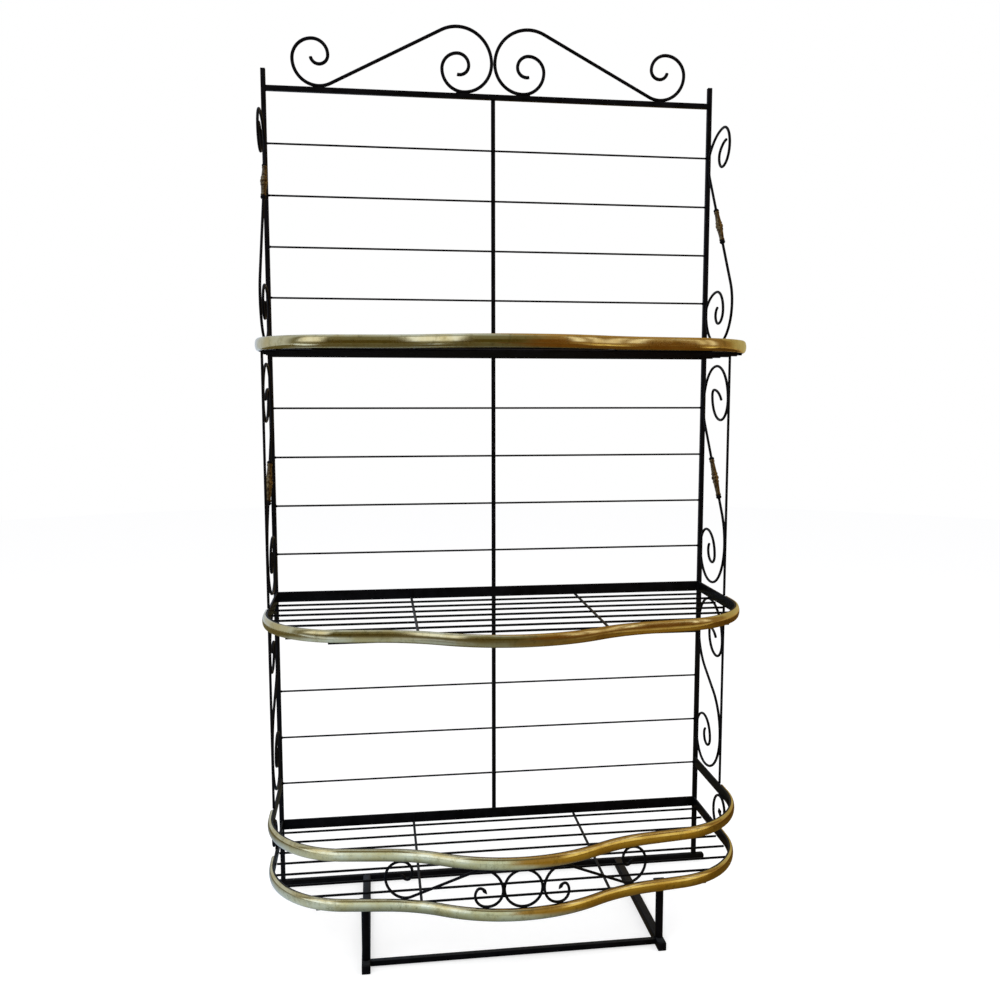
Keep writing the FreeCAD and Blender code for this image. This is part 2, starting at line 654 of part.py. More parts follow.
# Gallery: a ring and two S-scrolls between the bottom shelf's front bar and the gallery bar, and a comma curl on
# each side. Each S-scroll stands on the bar at two places and lies in the upright plane through them. Their wire
# is wider than the bars, so all are set back to lie flush with the bars' outer faces, behind the brass.
derive("apronInset", "(apronWire - flatThickness) / 2 + apronClearance")
ring = newBody("apron_ring")
section = newSketch(ring, "Section", "YZ_Plane")
addRectangle(section, "apronWire", "apronWire", y="apronRadius")
turned = ring.newObject("PartDesign::Revolution", "Turned")
turned.Profile = section
turned.ReferenceAxis = (section, ["H_Axis"])
turned.Angle = 360
place(ring, y="backPlane - frameDepth + apronInset", z="galleryMiddle")

derive("apronInnerDepth", "bulgeCentre + sqrt(bulgeRadius * bulgeRadius - apronInnerPlace ^ 2)")
derive("apronOuterDepth",
       "hollowCentreDepth - sqrt(hollowRadius * hollowRadius - (hollowCentreAcross - apronOuterPlace) ^ 2)")
derive("apronRun", "sqrt((apronOuterPlace - apronInnerPlace) ^ 2 + (apronInnerDepth - apronOuterDepth) ^ 2)")
apron = newBody("apron_scroll_right")
path = newSketch(apron, "Path", "XZ_Plane")
apronTurns = [(1, 180), (0.62, 90), (0.47, 90), (0.32, 90), (0.25, 70)]
addScroll(path, ("0", "0", "apronRadius"), ("apronRun", "0", "apronRadius"), apronTurns, apronTurns)
sweepWire(apron, path, "apronWire")
apronTurn = number("atan2(apronInnerDepth - apronOuterDepth; apronOuterPlace - apronInnerPlace) / 1deg")
apron.Placement.Rotation = FreeCAD.Rotation(FreeCAD.Vector(0, 0, 1), apronTurn)
place(apron, x="apronInnerPlace", y="backPlane - apronInnerDepth + apronInset", z="galleryMiddle")
mirrored(apron, "apron_scroll_left")

derive("galleryCurlRadius",
       "(galleryGap - scrollWire / 2 - scrollWire / 2 * cos(galleryCurlLean * 1deg))"
       " / (1 + cos(galleryCurlLean * 1deg))")
comma = newBody("gallery_side_scroll_right")
path = newSketch(comma, "Path", "YZ_Plane")
centreY = "-(galleryCurlStart + galleryCurlRadius * sin(galleryCurlLean * 1deg))"
centreZ = "galleryHeight - flatHeight / 2 - scrollWire / 2 - galleryCurlRadius"
start = number("galleryCurlLean") - 90
first = addArc(path, vector(number(centreY), number(centreZ)), number("galleryCurlRadius"), start, 90)
locate(path, first, 3, centreY, centreZ)
bind(path, "Radius", first, size="galleryCurlRadius")
bind(path, "Angle", first, size="180 - galleryCurlLean")
path.addConstraint(Sketcher.Constraint("Vertical", first, 3, first, 2))
addCurl(path, first, 90, "galleryCurlRadius", [(0.65, 90), (0.4, 90), (0.34, 60)])
sweepWire(comma, path, "scrollWire")
place(comma, x="sidePlane + (flatThickness - scrollWire) / 2")
mirrored(comma, "gallery_side_scroll_left")

# Base: a round rear rail, square runners coped to it, legs up to the bottom shelf and a crossbar.
baseRail = newBody("base_rear_rail")
section = newSketch(baseRail, "Section", "YZ_Plane")
addCircle(section, "baseTubeDiameter", y="baseTubeDiameter / 2")
addCircle(section, "baseTubeDiameter - 2 * baseTubeWall", y="baseTubeDiameter / 2")
pad(baseRail, section, "2 * (baseHalfLength - endCapDepth)", midplane=True)
place(baseRail)

for side, sign in (("left", -1), ("right", 1)):
    cap = newBody(f"base_end_cap_{side}")
    profile = newSketch(cap, "Profile", "XZ_Plane")
    radius = number("baseTubeDiameter / 2")
    depth = number("endCapDepth")
    domeRadius = "(baseTubeDiameter * baseTubeDiameter / 4 + endCapDepth * endCapDepth) / (2 * endCapDepth)"
    dome = number(domeRadius)
    spread = math.degrees(math.asin(radius / dome))
    crown = addArc(profile, vector(0, depth - dome), dome, 90 - spread, 90)
    axis = addLine(profile, vector(0, depth), vector(0, 0))
    face = addLine(profile, vector(0, 0), vector(radius, 0))
    for first, second in (((crown, 2), (axis, 1)), ((axis, 2), (face, 1)), ((face, 2), (crown, 1))):
        profile.addConstraint(Sketcher.Constraint("Coincident", *first, *second))
    locate(profile, axis, 1, "0", "endCapDepth")
    locate(profile, axis, 2, "0", "0")
    locate(profile, face, 2, "baseTubeDiameter / 2", "0")
    bind(profile, "Radius", crown, size=domeRadius)
    turned = cap.newObject("PartDesign::Revolution", "Turned")
    turned.Profile = profile
    turned.ReferenceAxis = (profile, ["V_Axis"])
    turned.Angle = 360
    cap.Placement.Rotation = FreeCAD.Rotation(FreeCAD.Vector(0, 1, 0), sign * 90)
    place(cap, x=f"{sign} * (baseHalfLength - endCapDepth)", z="baseTubeDiameter / 2")

for side, sign in (("left", -1), ("right", 1)):
    runner = newBody(f"runner_{side}")
    section = newSketch(runner, "Section", "XZ_Plane", offset="baseTubeDiameter / 4")
    addRectangle(section, "baseTubeDiameter", "baseTubeDiameter")
    addRectangle(section, "baseTubeDiameter - 2 * baseTubeWall", "baseTubeDiameter - 2 * baseTubeWall")
    pad(runner, section, "runnerFront - runnerCapDepth - baseTubeDiameter / 4")
    cope = newSketch(runner, "Cope", "YZ_Plane")
    addCircle(cope, "baseTubeDiameter")
    pocket = runner.newObject("PartDesign::Pocket", "RailCope")
    pocket.Profile = cope
    pocket.Type = "ThroughAll"
    pocket.Midplane = True
    place(runner, x=f"{sign} * runnerPlace", z="baseTubeDiameter / 2")

    tip = newBody(f"runner_cap_{side}")
    section = newSketch(tip, "Section", "XZ_Plane", offset="runnerFront - runnerCapDepth")
    addRectangle(section, "baseTubeDiameter", "baseTubeDiameter")
    plate = pad(tip, section, "runnerCapDepth")
    document.recompute()
    frontFace = min(range(len(plate.Shape.Faces)), key=lambda k: plate.Shape.Faces[k].CenterOfMass.y) + 1
    eased = tip.newObject("PartDesign::Chamfer", "Eased")
    eased.Base = (plate, [f"Face{frontFace}"])
    eased.setExpression("Size", formula("runnerCapDepth / 2"))
    place(tip, x=f"{sign} * runnerPlace", z="baseTubeDiameter / 2")

    leg = document.addObject("Part::Cylinder", f"leg_{side}")
    leg.setExpression("Radius", formula("legDiameter / 2"))
    leg.setExpression("Height", formula("shelfBottomHeight - flatHeight / 2 - baseTubeDiameter"))
    place(leg, x=f"{sign} * runnerPlace", y="backPlane - legSetback", z="baseTubeDiameter")
    keep(leg, f"leg_{side}")

plateEdge = "(runnerPlace + legPlateWidth / 2)"
plateDepth = (f"(straightDepth - ({plateEdge} - straightAcross) * tan(straightAngle * 1deg)"
              " - flatThickness / 2 / cos(straightAngle * 1deg))")
plateBack = "(lastGridRod - gridRodPitch - stripThickness)"
plates = []
for side, sign in (("Left", -1), ("Right", 1)):
    corner = (f"{sign} * runnerPlace - legPlateWidth / 2", f"-{plateDepth}", "shelfBottomHeight - flatHeight / 2")
    plates.append(box(f"LegPlate{side}", ("legPlateWidth", f"{plateDepth} - {plateBack}", "stripThickness"), corner))
group("leg_plates", plates)

crossbar = newBody("base_crossbar")
section = newSketch(crossbar, "Section", "YZ_Plane")
addRectangle(section, "baseCrossbarSide", "baseCrossbarSide", x="-legSetback", y="baseTubeDiameter / 2")
pad(crossbar, section, "2 * runnerPlace - baseTubeDiameter", midplane=True)
place(crossbar)

document.recompute()
for item in document.Objects:
    if {"Invalid", "Error"} & set(item.State):
        raise RuntimeError(f"{item.Name} failed: {item.State}")
for node in nodes:
    if node.Shape.isNull() or not node.Shape.isValid() or not node.Shape.Solids:
        raise RuntimeError(f"{node.Label} has no valid solid")
os.makedirs("parts", exist_ok=True)
for node in nodes:
    node.Shape.exportStep(f"parts/{node.Label}.step")
print(f"{len(nodes)} pieces written")
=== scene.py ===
import math

import bpy
import numpy as np
from mathutils import Matrix, Vector


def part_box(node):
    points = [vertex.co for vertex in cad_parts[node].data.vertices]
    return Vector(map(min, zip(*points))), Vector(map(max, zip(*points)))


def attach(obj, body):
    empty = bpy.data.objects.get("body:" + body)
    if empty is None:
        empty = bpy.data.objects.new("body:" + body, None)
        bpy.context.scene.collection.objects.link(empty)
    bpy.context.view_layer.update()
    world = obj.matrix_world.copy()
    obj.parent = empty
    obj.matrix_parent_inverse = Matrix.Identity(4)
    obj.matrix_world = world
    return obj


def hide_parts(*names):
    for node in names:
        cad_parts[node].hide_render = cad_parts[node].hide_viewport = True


# Bakers rack: black iron bar and wire, brass trim on the shelf fronts, scrolled sides, crest and apron.
# Metres, +Z up, the front towards -Y, the same frame as the solids.

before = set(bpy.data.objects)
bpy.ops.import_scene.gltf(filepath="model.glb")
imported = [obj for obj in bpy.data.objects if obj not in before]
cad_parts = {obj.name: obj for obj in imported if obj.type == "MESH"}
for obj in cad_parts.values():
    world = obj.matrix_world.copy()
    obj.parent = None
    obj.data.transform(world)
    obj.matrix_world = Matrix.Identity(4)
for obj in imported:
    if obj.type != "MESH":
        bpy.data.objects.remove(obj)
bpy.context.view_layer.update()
print("solids loaded")


def low(name):
    return np.array(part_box(name)[0])


def high(name):
    return np.array(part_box(name)[1])


def middle(name):
    return (low(name) + high(name)) / 2


backY = middle("upright_right")[1]       # the plane of the uprights; depths are counted forward from it
up = np.array([0.0, 0.0, 1.0])
across = np.array([1.0, 0.0, 0.0])
forward = np.array([0.0, -1.0, 0.0])
sides = {"left": -1, "right": 1}


# Sections, as outlines that run anticlockwise: the first number is outward, the second along the normal.

def roundSection(radius, count=16):
    # A circle: angle t gives (radius cos t, radius sin t).
    turn = np.linspace(0, 2 * np.pi, count, endpoint=False)
    return radius * np.column_stack([np.cos(turn), np.sin(turn)])


def easedSection(width, height, ease=0.0008, steps=4):
    # A rectangle with round corners: a quarter circle of radius ease about each corner's own centre.
    quarter = np.linspace(0, np.pi / 2, steps)
    turn = (np.arange(4)[:, None] * np.pi / 2 + quarter).ravel()
    outward = np.repeat([1, -1, -1, 1], steps) * (width / 2 - ease)
    along = np.repeat([1, 1, -1, -1], steps) * (height / 2 - ease)
    return np.column_stack([outward + ease * np.cos(turn), along + ease * np.sin(turn)])


def halfRoundSection(back, depth, height, bulge=0.8, count=21):
    # Half a fat ellipse, flat at its back: (depth cos(t)^bulge, height/2 sin(t)), t from -90 to 90 degrees.
    turn = np.linspace(-np.pi / 2, np.pi / 2, count)
    outward = back + depth * np.maximum(np.cos(turn), 0) ** bulge
    return np.column_stack([outward, height / 2 * np.sin(turn)])


# Paths, as points on a plane.

def arc(centre, radius, start, end, step=4):
    # Points on a circle between two angles in degrees: centre + radius (cos t, sin t).
    turn = np.radians(np.linspace(start, end, max(3, math.ceil(abs(end - start) / step) + 1)))
    return np.asarray(centre) + radius * np.column_stack([np.cos(turn), np.sin(turn)])


def straight(start, end, step=0.02):
    share = np.linspace(0, 1, max(2, math.ceil(math.dist(start, end) / step) + 1))[:, None]
    return np.asarray(start) * (1 - share) + np.asarray(end) * share


def joined(*stretches):
    # One path from stretches that follow each other, each shared end kept once.
    points = np.concatenate(stretches)
    apart = np.linalg.norm(np.diff(points, axis=0), axis=1) > 1e-6
    return points[np.concatenate([[True], apart])]


def curl(centre, radius, angle, turns):
    # Arcs that follow each other anticlockwise, each a share of the radius. Each centre lies on the line from
    # the last centre to the last end, so the path keeps its direction from arc to arc.
    centre = np.asarray(centre, dtype=float)
    last = radius
    stretches = []
    for share, span in turns:
        heading = np.array([math.cos(math.radians(angle)), math.sin(math.radians(angle))])
        centre = centre + heading * (last - radius * share)
        last = radius * share
        stretches.append(arc(centre, last, angle, angle + span))
        angle += span
    return joined(*stretches)


def stemAngle(first, second):
    # The direction, from the first circle's centre, of the place where a stem that crosses over touches it.
    gap = np.subtract(second["centre"], first["centre"])
    reach = first["radius"] + second["radius"]
    return math.atan2(gap[1], gap[0]) + math.acos(reach / np.linalg.norm(gap))


def scrollPath(first, second):
    # An S: two circles joined by a stem that touches them on opposite sides, each running on into its curl.
    angle = math.degrees(stemAngle(first, second))
    quarter = 90 * math.ceil(angle / 90)
    halves = []
    for loop, start, end in ((first, angle, quarter), (second, angle - 180, quarter - 180)):
        halves.append(joined(arc(loop["centre"], loop["radius"], start, end),
                             curl(loop["centre"], loop["radius"], end, loop["turns"])))
    stem = straight(halves[0][0], halves[1][0])
    return joined(halves[0][::-1], stem, halves[1])


def inPanel(path, x):
    # A side panel's path: the first number is counted back from the uprights, the second is height.
    return np.column_stack([np.full(len(path), x), backY + path[:, 0], path[:, 1]])


def inFront(path, y, side=1):
    return np.column_stack([side * path[:, 0], np.full(len(path), y), path[:, 1]])


# Surfaces. Each is a grid of points: rings along the path, points around each ring.

def carried(path, normal, section, ease=0.0, closed=False):
    # Ring i, point j = path[i] + section[j][0] * outward[i] + section[j][1] * normal, where outward is the
    # normal crossed with the path's direction. With ease, each end is rounded off by rings that shrink.
    path = np.asarray(path, dtype=float)
    step = np.diff(path, axis=0, append=path[:1] if closed else path[-1:])
    step = step if closed else step[:-1]
    step /= np.linalg.norm(step, axis=1)[:, None]
    if closed:
        along = step + np.roll(step, 1, axis=0)
    else:
        along = np.concatenate([step[:1], step[:-1] + step[1:], step[-1:]])
    along /= np.linalg.norm(along, axis=1)[:, None]
    scale = np.ones(len(path))
    if ease:
        turn = np.radians([90, 60, 30, 0])
        reach = np.abs(section).max()
        inset = ease * (1 - np.sin(turn))[:, None]
        shrink = 1 - ease / reach * (1 - np.cos(turn))
        path = np.concatenate([path[0] + along[0] * inset, path[1:-1], path[-1] - along[-1] * inset[::-1]])
        along = np.concatenate([np.repeat(along[:1], len(turn), 0), along[1:-1],
                                np.repeat(along[-1:], len(turn), 0)])
        scale = np.concatenate([shrink, scale[1:-1], shrink[::-1]])
    outward = np.cross(normal, along)
    outward /= np.linalg.norm(outward, axis=1)[:, None]
    ring = section[None, :, :, None] * scale[:, None, None, None]
    normal = np.asarray(normal, dtype=float)
    points = path[:, None] + ring[:, :, 0] * outward[:, None] + ring[:, :, 1] * normal
    return {"points": points, "closed": closed}


def turned(profile, foot, axis, count=28):
    # A turned piece: profile row (s, r) makes the ring foot + s axis + r (cos t, sin t) across the axis.
    axis = np.asarray(axis, dtype=float) / np.linalg.norm(axis)
    first = np.cross(axis, across if abs(axis[0]) < 0.9 else up)
    first /= np.linalg.norm(first)
    second = np.cross(axis, first)
    turn = np.linspace(0, 2 * np.pi, count, endpoint=False)
    spokes = np.cos(turn)[:, None] * first + np.sin(turn)[:, None] * second
    profile = np.asarray(profile, dtype=float)
    points = foot + profile[:, :1, None] * axis + profile[:, 1:, None] * spokes
    radius = profile[:, 1]
    hollow = (radius.max() - radius) / max(np.ptp(radius), 1e-9)
    return {"points": points, "closed": False, "hollow": np.repeat(hollow, count)}


weld = {"pole": 0.12, "rings": 7, "around": 10, "sideWave": 0.12, "endWave": 0.08}


def weldBead(place, size, seed=0):
    # A drop of weld: size * (cos t sin p, sin t sin p, cos p), made lumpy by two low waves.
    polar = np.linspace(weld["pole"], np.pi - weld["pole"], weld["rings"])[:, None]
    turn = np.linspace(0, 2 * np.pi, weld["around"], endpoint=False)[None]
    sideWave = weld["sideWave"] * np.sin(3 * turn + seed) * np.sin(polar)
    lump = 1 + sideWave + weld["endWave"] * np.cos(2 * polar + seed)
    ball = np.stack([np.cos(turn) * np.sin(polar), np.sin(turn) * np.sin(polar),
                     np.cos(polar) + 0 * turn], axis=-1)
    drop = ball * lump[..., None] * np.array([1, 1, -1]) * size
    return {"points": np.asarray(place) - drop, "closed": False}


# Rows of distance past the wire's end and radius, both counted in the wire's radius.
beakShape = np.array([(-1.6, 0.9), (-0.8, 1.15), (0.2, 1.4), (1.1, 1.25),
                      (2.1, 0.8), (3.0, 0.3), (3.4, 0.05)])


def beak(path, radius, back=False):
    # The hammered point of a scroll end: a drop that swells past the wire and runs out to a tip.
    end, before = (path[0], path[2]) if back else (path[-1], path[-3])
    return turned(beakShape * radius, end, end - before, 14)


def rod(start, end, radius, count=10, ease=0.0006):
    along = np.subtract(end, start) / np.linalg.norm(np.subtract(end, start))
    normal = np.cross(along, up if abs(along[2]) < 0.9 else across)
    normal = normal / np.linalg.norm(normal)
    return carried(straight(start, end, 0.2), normal, roundSection(radius, count), ease)


def addPiece(name, surfaces, material, stands=(), crease=35):
    # Puts the surfaces into one mesh. Each end of an open surface is closed by a fan about its middle.
    # The map Run holds metres along the path and around the section.
    points, corners, counts, maps, hollows = [], [], [], [], []
    quadCorners = ((0, 0), (0, 1), (1, 1), (1, 0))
    total = 0
    for surface in surfaces:
        grid = surface["points"]
        rings, around = grid.shape[:2]
        index = total + np.arange(rings * around).reshape(rings, around)
        spare = total + rings * around
        run = np.concatenate([[0], np.cumsum(np.linalg.norm(np.diff(grid.mean(1), axis=0), axis=1))])
        wide = grid[rings // 2]
        girth = np.concatenate([[0], np.cumsum(np.linalg.norm(np.roll(wide, -1, 0) - wide, axis=1))])
        rows = rings if surface["closed"] else rings - 1
        i, j = np.meshgrid(np.arange(rows), np.arange(around), indexing="ij")
        quads = np.stack([index[(i + a) % rings, (j + b) % around] for a, b in quadCorners], -1)
        runAhead = np.append(run, run[-1] + np.linalg.norm(grid[-1].mean(0) - grid[0].mean(0)))
        quadMap = np.stack([np.stack([runAhead[i + a], girth[j + b]], -1) for a, b in quadCorners], -2)
        corners.append(quads.reshape(-1))
        maps.append(quadMap.reshape(-1, 2))
        counts.append(np.full(quads.shape[0] * quads.shape[1], 4))
        points.append(grid.reshape(-1, 3))
        hollows.append(surface.get("hollow", np.zeros(rings * around)))
        total += rings * around
        if not surface["closed"]:
            ring = np.arange(around)
            near, far = index[0], index[-1]
            fans = np.concatenate([np.stack([np.full(around, spare), near[(ring + 1) % around], near], -1),
                                   np.stack([np.full(around, spare + 1), far, far[(ring + 1) % around]], -1)])
            points.append(np.stack([grid[0].mean(0), grid[-1].mean(0)]))
            hollows.append(np.zeros(2))
            corners.append(fans.reshape(-1))
            maps.append(np.column_stack([np.repeat([run[0], run[-1]], around * 3), np.zeros(around * 6)]))
            counts.append(np.full(around * 2, 3))
            total += 2
    points, corners, counts = np.concatenate(points), np.concatenate(corners), np.concatenate(counts)
    mesh = bpy.data.meshes.new(name)
    mesh.vertices.add(len(points))
    mesh.vertices.foreach_set("co", points.ravel())
    mesh.loops.add(len(corners))
    mesh.loops.foreach_set("vertex_index", corners.astype(np.int32))
    mesh.polygons.add(len(counts))
    mesh.polygons.foreach_set("loop_start", np.concatenate([[0], np.cumsum(counts)[:-1]]).astype(np.int32))
    mesh.polygons.foreach_set("loop_total", counts.astype(np.int32))
    mesh.update(calc_edges=True)
    mesh.uv_layers.new(name="Run").data.foreach_set("uv", np.concatenate(maps).ravel())
    hollow = mesh.attributes.new("hollow", "FLOAT", "POINT")
    hollow.data.foreach_set("value", np.concatenate(hollows))
    mesh.polygons.foreach_set("use_smooth", np.ones(len(counts), dtype=bool))
    mesh.set_sharp_from_angle(angle=math.radians(crease))
    mesh.materials.append(material)
    piece = bpy.data.objects.new(name, mesh)
    bpy.context.scene.collection.objects.link(piece)
    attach(piece, "root")
    if stands:
        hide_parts(*([stands] if isinstance(stands, str) else stands))
    return piece


# Finishes.

def node(tree, kind, **values):
    made = tree.nodes.new(kind)
    for name, value in values.items():
        if hasattr(made, name):
            setattr(made, name, value)
        else:
            made.inputs[name.replace("_", " ")].default_value = value
    return made


def unevenness():
    # A group: a soft blotch mask and a fine grain height, from the piece's own coordinates.
    group = bpy.data.node_groups.new("Unevenness", "ShaderNodeTree")
    for name, start in (("Blotch Scale", 25.0), ("Grain Scale", 700.0), ("Contrast", 2.0)):
        socket = group.interface.new_socket(name, in_out="INPUT", socket_type="NodeSocketFloat")
        socket.default_value = start
    group.interface.new_socket("Vector", in_out="INPUT", socket_type="NodeSocketVector")
    for name in ("Blotch", "Height"):
        group.interface.new_socket(name, in_out="OUTPUT", socket_type="NodeSocketFloat")
    link = group.links.new
    taken = group.nodes.new("NodeGroupInput")
    given = group.nodes.new("NodeGroupOutput")
    blotch = node(group, "ShaderNodeTexNoise", Detail=4.0, Roughness=0.6)
    grain = node(group, "ShaderNodeTexNoise", Detail=2.0, Roughness=0.5)
    centred = node(group, "ShaderNodeMath", operation="SUBTRACT")
    centred.inputs[1].default_value = 0.5
    spread = node(group, "ShaderNodeMath", operation="MULTIPLY_ADD", use_clamp=True)
    spread.inputs[2].default_value = 0.5
    relief = node(group, "ShaderNodeMath", operation="MULTIPLY_ADD")
    relief.inputs[1].default_value = 0.35
    link(taken.outputs["Vector"], blotch.inputs["Vector"])
    link(taken.outputs["Vector"], grain.inputs["Vector"])
    link(taken.outputs["Blotch Scale"], blotch.inputs["Scale"])
    link(taken.outputs["Grain Scale"], grain.inputs["Scale"])
    link(blotch.outputs["Fac"], centred.inputs[0])
    link(centred.outputs[0], spread.inputs[0])
    link(taken.outputs["Contrast"], spread.inputs[1])
    link(spread.outputs[0], given.inputs["Blotch"])
    link(grain.outputs["Fac"], relief.inputs[0])
    link(blotch.outputs["Fac"], relief.inputs[2])
    link(relief.outputs[0], given.inputs["Height"])
    return group


uneven = unevenness()


def blend(tree, mask, first, second):
    # Mixes two colours by a mask.
    mix = node(tree, "ShaderNodeMix", data_type="RGBA")
    mix.inputs["A"].default_value = (*first, 1) if isinstance(first, tuple) else (0, 0, 0, 1)
    mix.inputs["B"].default_value = (*second, 1) if isinstance(second, tuple) else (0, 0, 0, 1)
    tree.links.new(mask, mix.inputs["Factor"])
    for value, socket in ((first, "A"), (second, "B")):
        if not isinstance(value, tuple):
            tree.links.new(value, mix.inputs[socket])
    return mix.outputs["Result"]


def ranged(tree, mask, start, end):
    # Spreads a mask from 0..1 over start..end.
    spread = node(tree, "ShaderNodeMapRange")
    spread.inputs["To Min"].default_value = start
    spread.inputs["To Max"].default_value = end
    tree.links.new(mask, spread.inputs["Value"])
    return spread.outputs["Result"]


def newFinish(name):
    material = bpy.data.materials.new(name)
    material.use_nodes = True
    tree = material.node_tree
    shader = tree.nodes["Principled BSDF"]
    return material, tree, shader


def bumped(tree, shader, height, strength, distance):
    bump = node(tree, "ShaderNodeBump", Strength=strength, Distance=distance)
    tree.links.new(height, bump.inputs["Height"])
    tree.links.new(bump.outputs["Normal"], shader.inputs["Normal"])


def placedUneven(tree, vector, look):
    group = node(tree, "ShaderNodeGroup", node_tree=uneven)
    for name, key in (("Blotch Scale", "blotch"), ("Grain Scale", "grain"), ("Contrast", "contrast")):
        group.inputs[name].default_value = look[key]
    tree.links.new(vector, group.inputs["Vector"])
    return group


ironLook = {"dark": (0.0012, 0.001, 0.001), "pale": (0.005, 0.0045, 0.0055), "dust": (0.050, 0.054, 0.058),
            "specular": 0.04, "roughness": (0.3, 0.46), "grain": 520.0, "blotch": 30.0, "contrast": 2.4,
            "dustFrom": 0.75, "dustMost": 0.6, "speckle": 160.0, "bump": (0.25, 0.0004)}


def ironFinish(name, look):
    # Satin enamel over wrought bar: faint blotches, fine orange peel, a little dust on faces that look up.
    material, tree, shader = newFinish(name)
    link = tree.links.new
    place = tree.nodes.new("ShaderNodeTexCoord").outputs["Object"]
    skin = placedUneven(tree, place, look)
    colour = blend(tree, skin.outputs["Blotch"], look["dark"], look["pale"])
    facing = node(tree, "ShaderNodeSeparateXYZ")
    link(tree.nodes.new("ShaderNodeNewGeometry").outputs["Normal"], facing.inputs[0])
    level = node(tree, "ShaderNodeMapRange")
    level.inputs["From Min"].default_value = look["dustFrom"]
    level.inputs["To Max"].default_value = look["dustMost"]
    link(facing.outputs["Z"], level.inputs["Value"])
    speckle = node(tree, "ShaderNodeTexNoise", Scale=look["speckle"], Detail=5.0, Roughness=0.7)
    link(place, speckle.inputs["Vector"])
    dusty = node(tree, "ShaderNodeMath", operation="MULTIPLY")
    link(level.outputs["Result"], dusty.inputs[0])
    link(speckle.outputs["Fac"], dusty.inputs[1])
    colour = blend(tree, dusty.outputs[0], colour, look["dust"])
    link(colour, shader.inputs["Base Color"])
    link(ranged(tree, skin.outputs["Blotch"], *look["roughness"]), shader.inputs["Roughness"])
    shader.inputs["Specular IOR Level"].default_value = look["specular"]
    bumped(tree, shader, skin.outputs["Height"], *look["bump"])
    return material


brassLook = {"bright": (0.66, 0.56, 0.31), "amber": (0.57, 0.43, 0.17), "tarnish": (0.26, 0.21, 0.08),
             "roughness": (0.10, 0.21), "coat": 0.15, "coatRoughness": 0.12,
             "blotch": 17.0, "grain": 260.0, "contrast": 4.0, "spots": 75.0, "spotted": (0.52, 0.80),
             "lines": (12, 1500, 1), "lineShare": 0.25, "bump": (0.12, 0.0006)}


def brassFinish(name, look):
    # Rolled brass strip under old lacquer: amber patches, brown spots, and polishing lines along its length.
    material, tree, shader = newFinish(name)
    link = tree.links.new
    place = tree.nodes.new("ShaderNodeTexCoord").outputs["Object"]
    run = node(tree, "ShaderNodeUVMap", uv_map="Run").outputs["UV"]
    patches = placedUneven(tree, place, look)
    stretch = node(tree, "ShaderNodeMapping")
    stretch.inputs["Scale"].default_value = look["lines"]
    link(run, stretch.inputs["Vector"])
    lines = node(tree, "ShaderNodeTexNoise", Scale=1.0, Detail=3.0, Roughness=0.6)
    link(stretch.outputs["Vector"], lines.inputs["Vector"])
    spots = node(tree, "ShaderNodeTexNoise", Scale=look["spots"], Detail=6.0, Roughness=0.72)
    link(place, spots.inputs["Vector"])
    spotted = node(tree, "ShaderNodeMapRange")
    spotted.inputs["From Min"].default_value = look["spotted"][0]
    spotted.inputs["From Max"].default_value = look["spotted"][1]
    link(spots.outputs["Fac"], spotted.inputs["Value"])
    colour = blend(tree, patches.outputs["Blotch"], look["bright"], look["amber"])
    colour = blend(tree, spotted.outputs["Result"], colour, look["tarnish"])
    link(colour, shader.inputs["Base Color"])
    shader.inputs["Metallic"].default_value = 1.0
    link(ranged(tree, patches.outputs["Blotch"], *look["roughness"]), shader.inputs["Roughness"])
    shader.inputs["Coat Weight"].default_value = look["coat"]
    shader.inputs["Coat Roughness"].default_value = look["coatRoughness"]
    height = node(tree, "ShaderNodeMath", operation="MULTIPLY_ADD")
    height.inputs[1].default_value = look["lineShare"]
    link(lines.outputs["Fac"], height.inputs[0])
    link(patches.outputs["Height"], height.inputs[2])
    bumped(tree, shader, height.outputs[0], *look["bump"])
    return material


agedLook = {"pale": (0.30, 0.21, 0.09), "brown": (0.05, 0.02, 0.007), "groove": (0.035, 0.02, 0.01),
            "grooveMost": 0.6, "roughness": (0.3, 0.55), "blotch": 210.0, "grain": 900.0, "contrast": 4.5,
            "bump": (0.3, 0.0004)}


def agedBrassFinish(name, look):
    # Turned brass that has gone brown: bright on the beads, nearly black in the grooves.
    material, tree, shader = newFinish(name)
    link = tree.links.new
    place = tree.nodes.new("ShaderNodeTexCoord").outputs["Object"]
    patches = placedUneven(tree, place, look)
    groove = node(tree, "ShaderNodeAttribute", attribute_name="hollow").outputs["Fac"]
    colour = blend(tree, patches.outputs["Blotch"], look["pale"], look["brown"])
    colour = blend(tree, ranged(tree, groove, 0.0, look["grooveMost"]), colour, look["groove"])
    link(colour, shader.inputs["Base Color"])
    shader.inputs["Metallic"].default_value = 1.0
    link(ranged(tree, patches.outputs["Blotch"], *look["roughness"]), shader.inputs["Roughness"])
    bumped(tree, shader, patches.outputs["Height"], *look["bump"])
    return material


iron = ironFinish("black enamel", ironLook)
brass = brassFinish("lacquered brass", brassLook)
agedBrass = agedBrassFinish("aged brass", agedLook)
print("finishes mixed")


# Back frame.

def bar(start, end, normal, width, height, ease=0.0008):
    return carried(straight(start, end, 0.1), normal, easedSection(width, height, ease), ease)


backFrame = {"side": 0.011, "uprightFoot": 0.0165, "flat": 0.0048, "centreWidth": 0.010}
for side, sign in sides.items():
    name = f"upright_{side}"
    x = middle(name)[0]
    foot = (x, backY, backFrame["uprightFoot"])
    head = (x, backY, high(name)[2])
    addPiece(f"{name}_bar", [bar(foot, head, across, backFrame["side"], backFrame["side"])], iron, name)

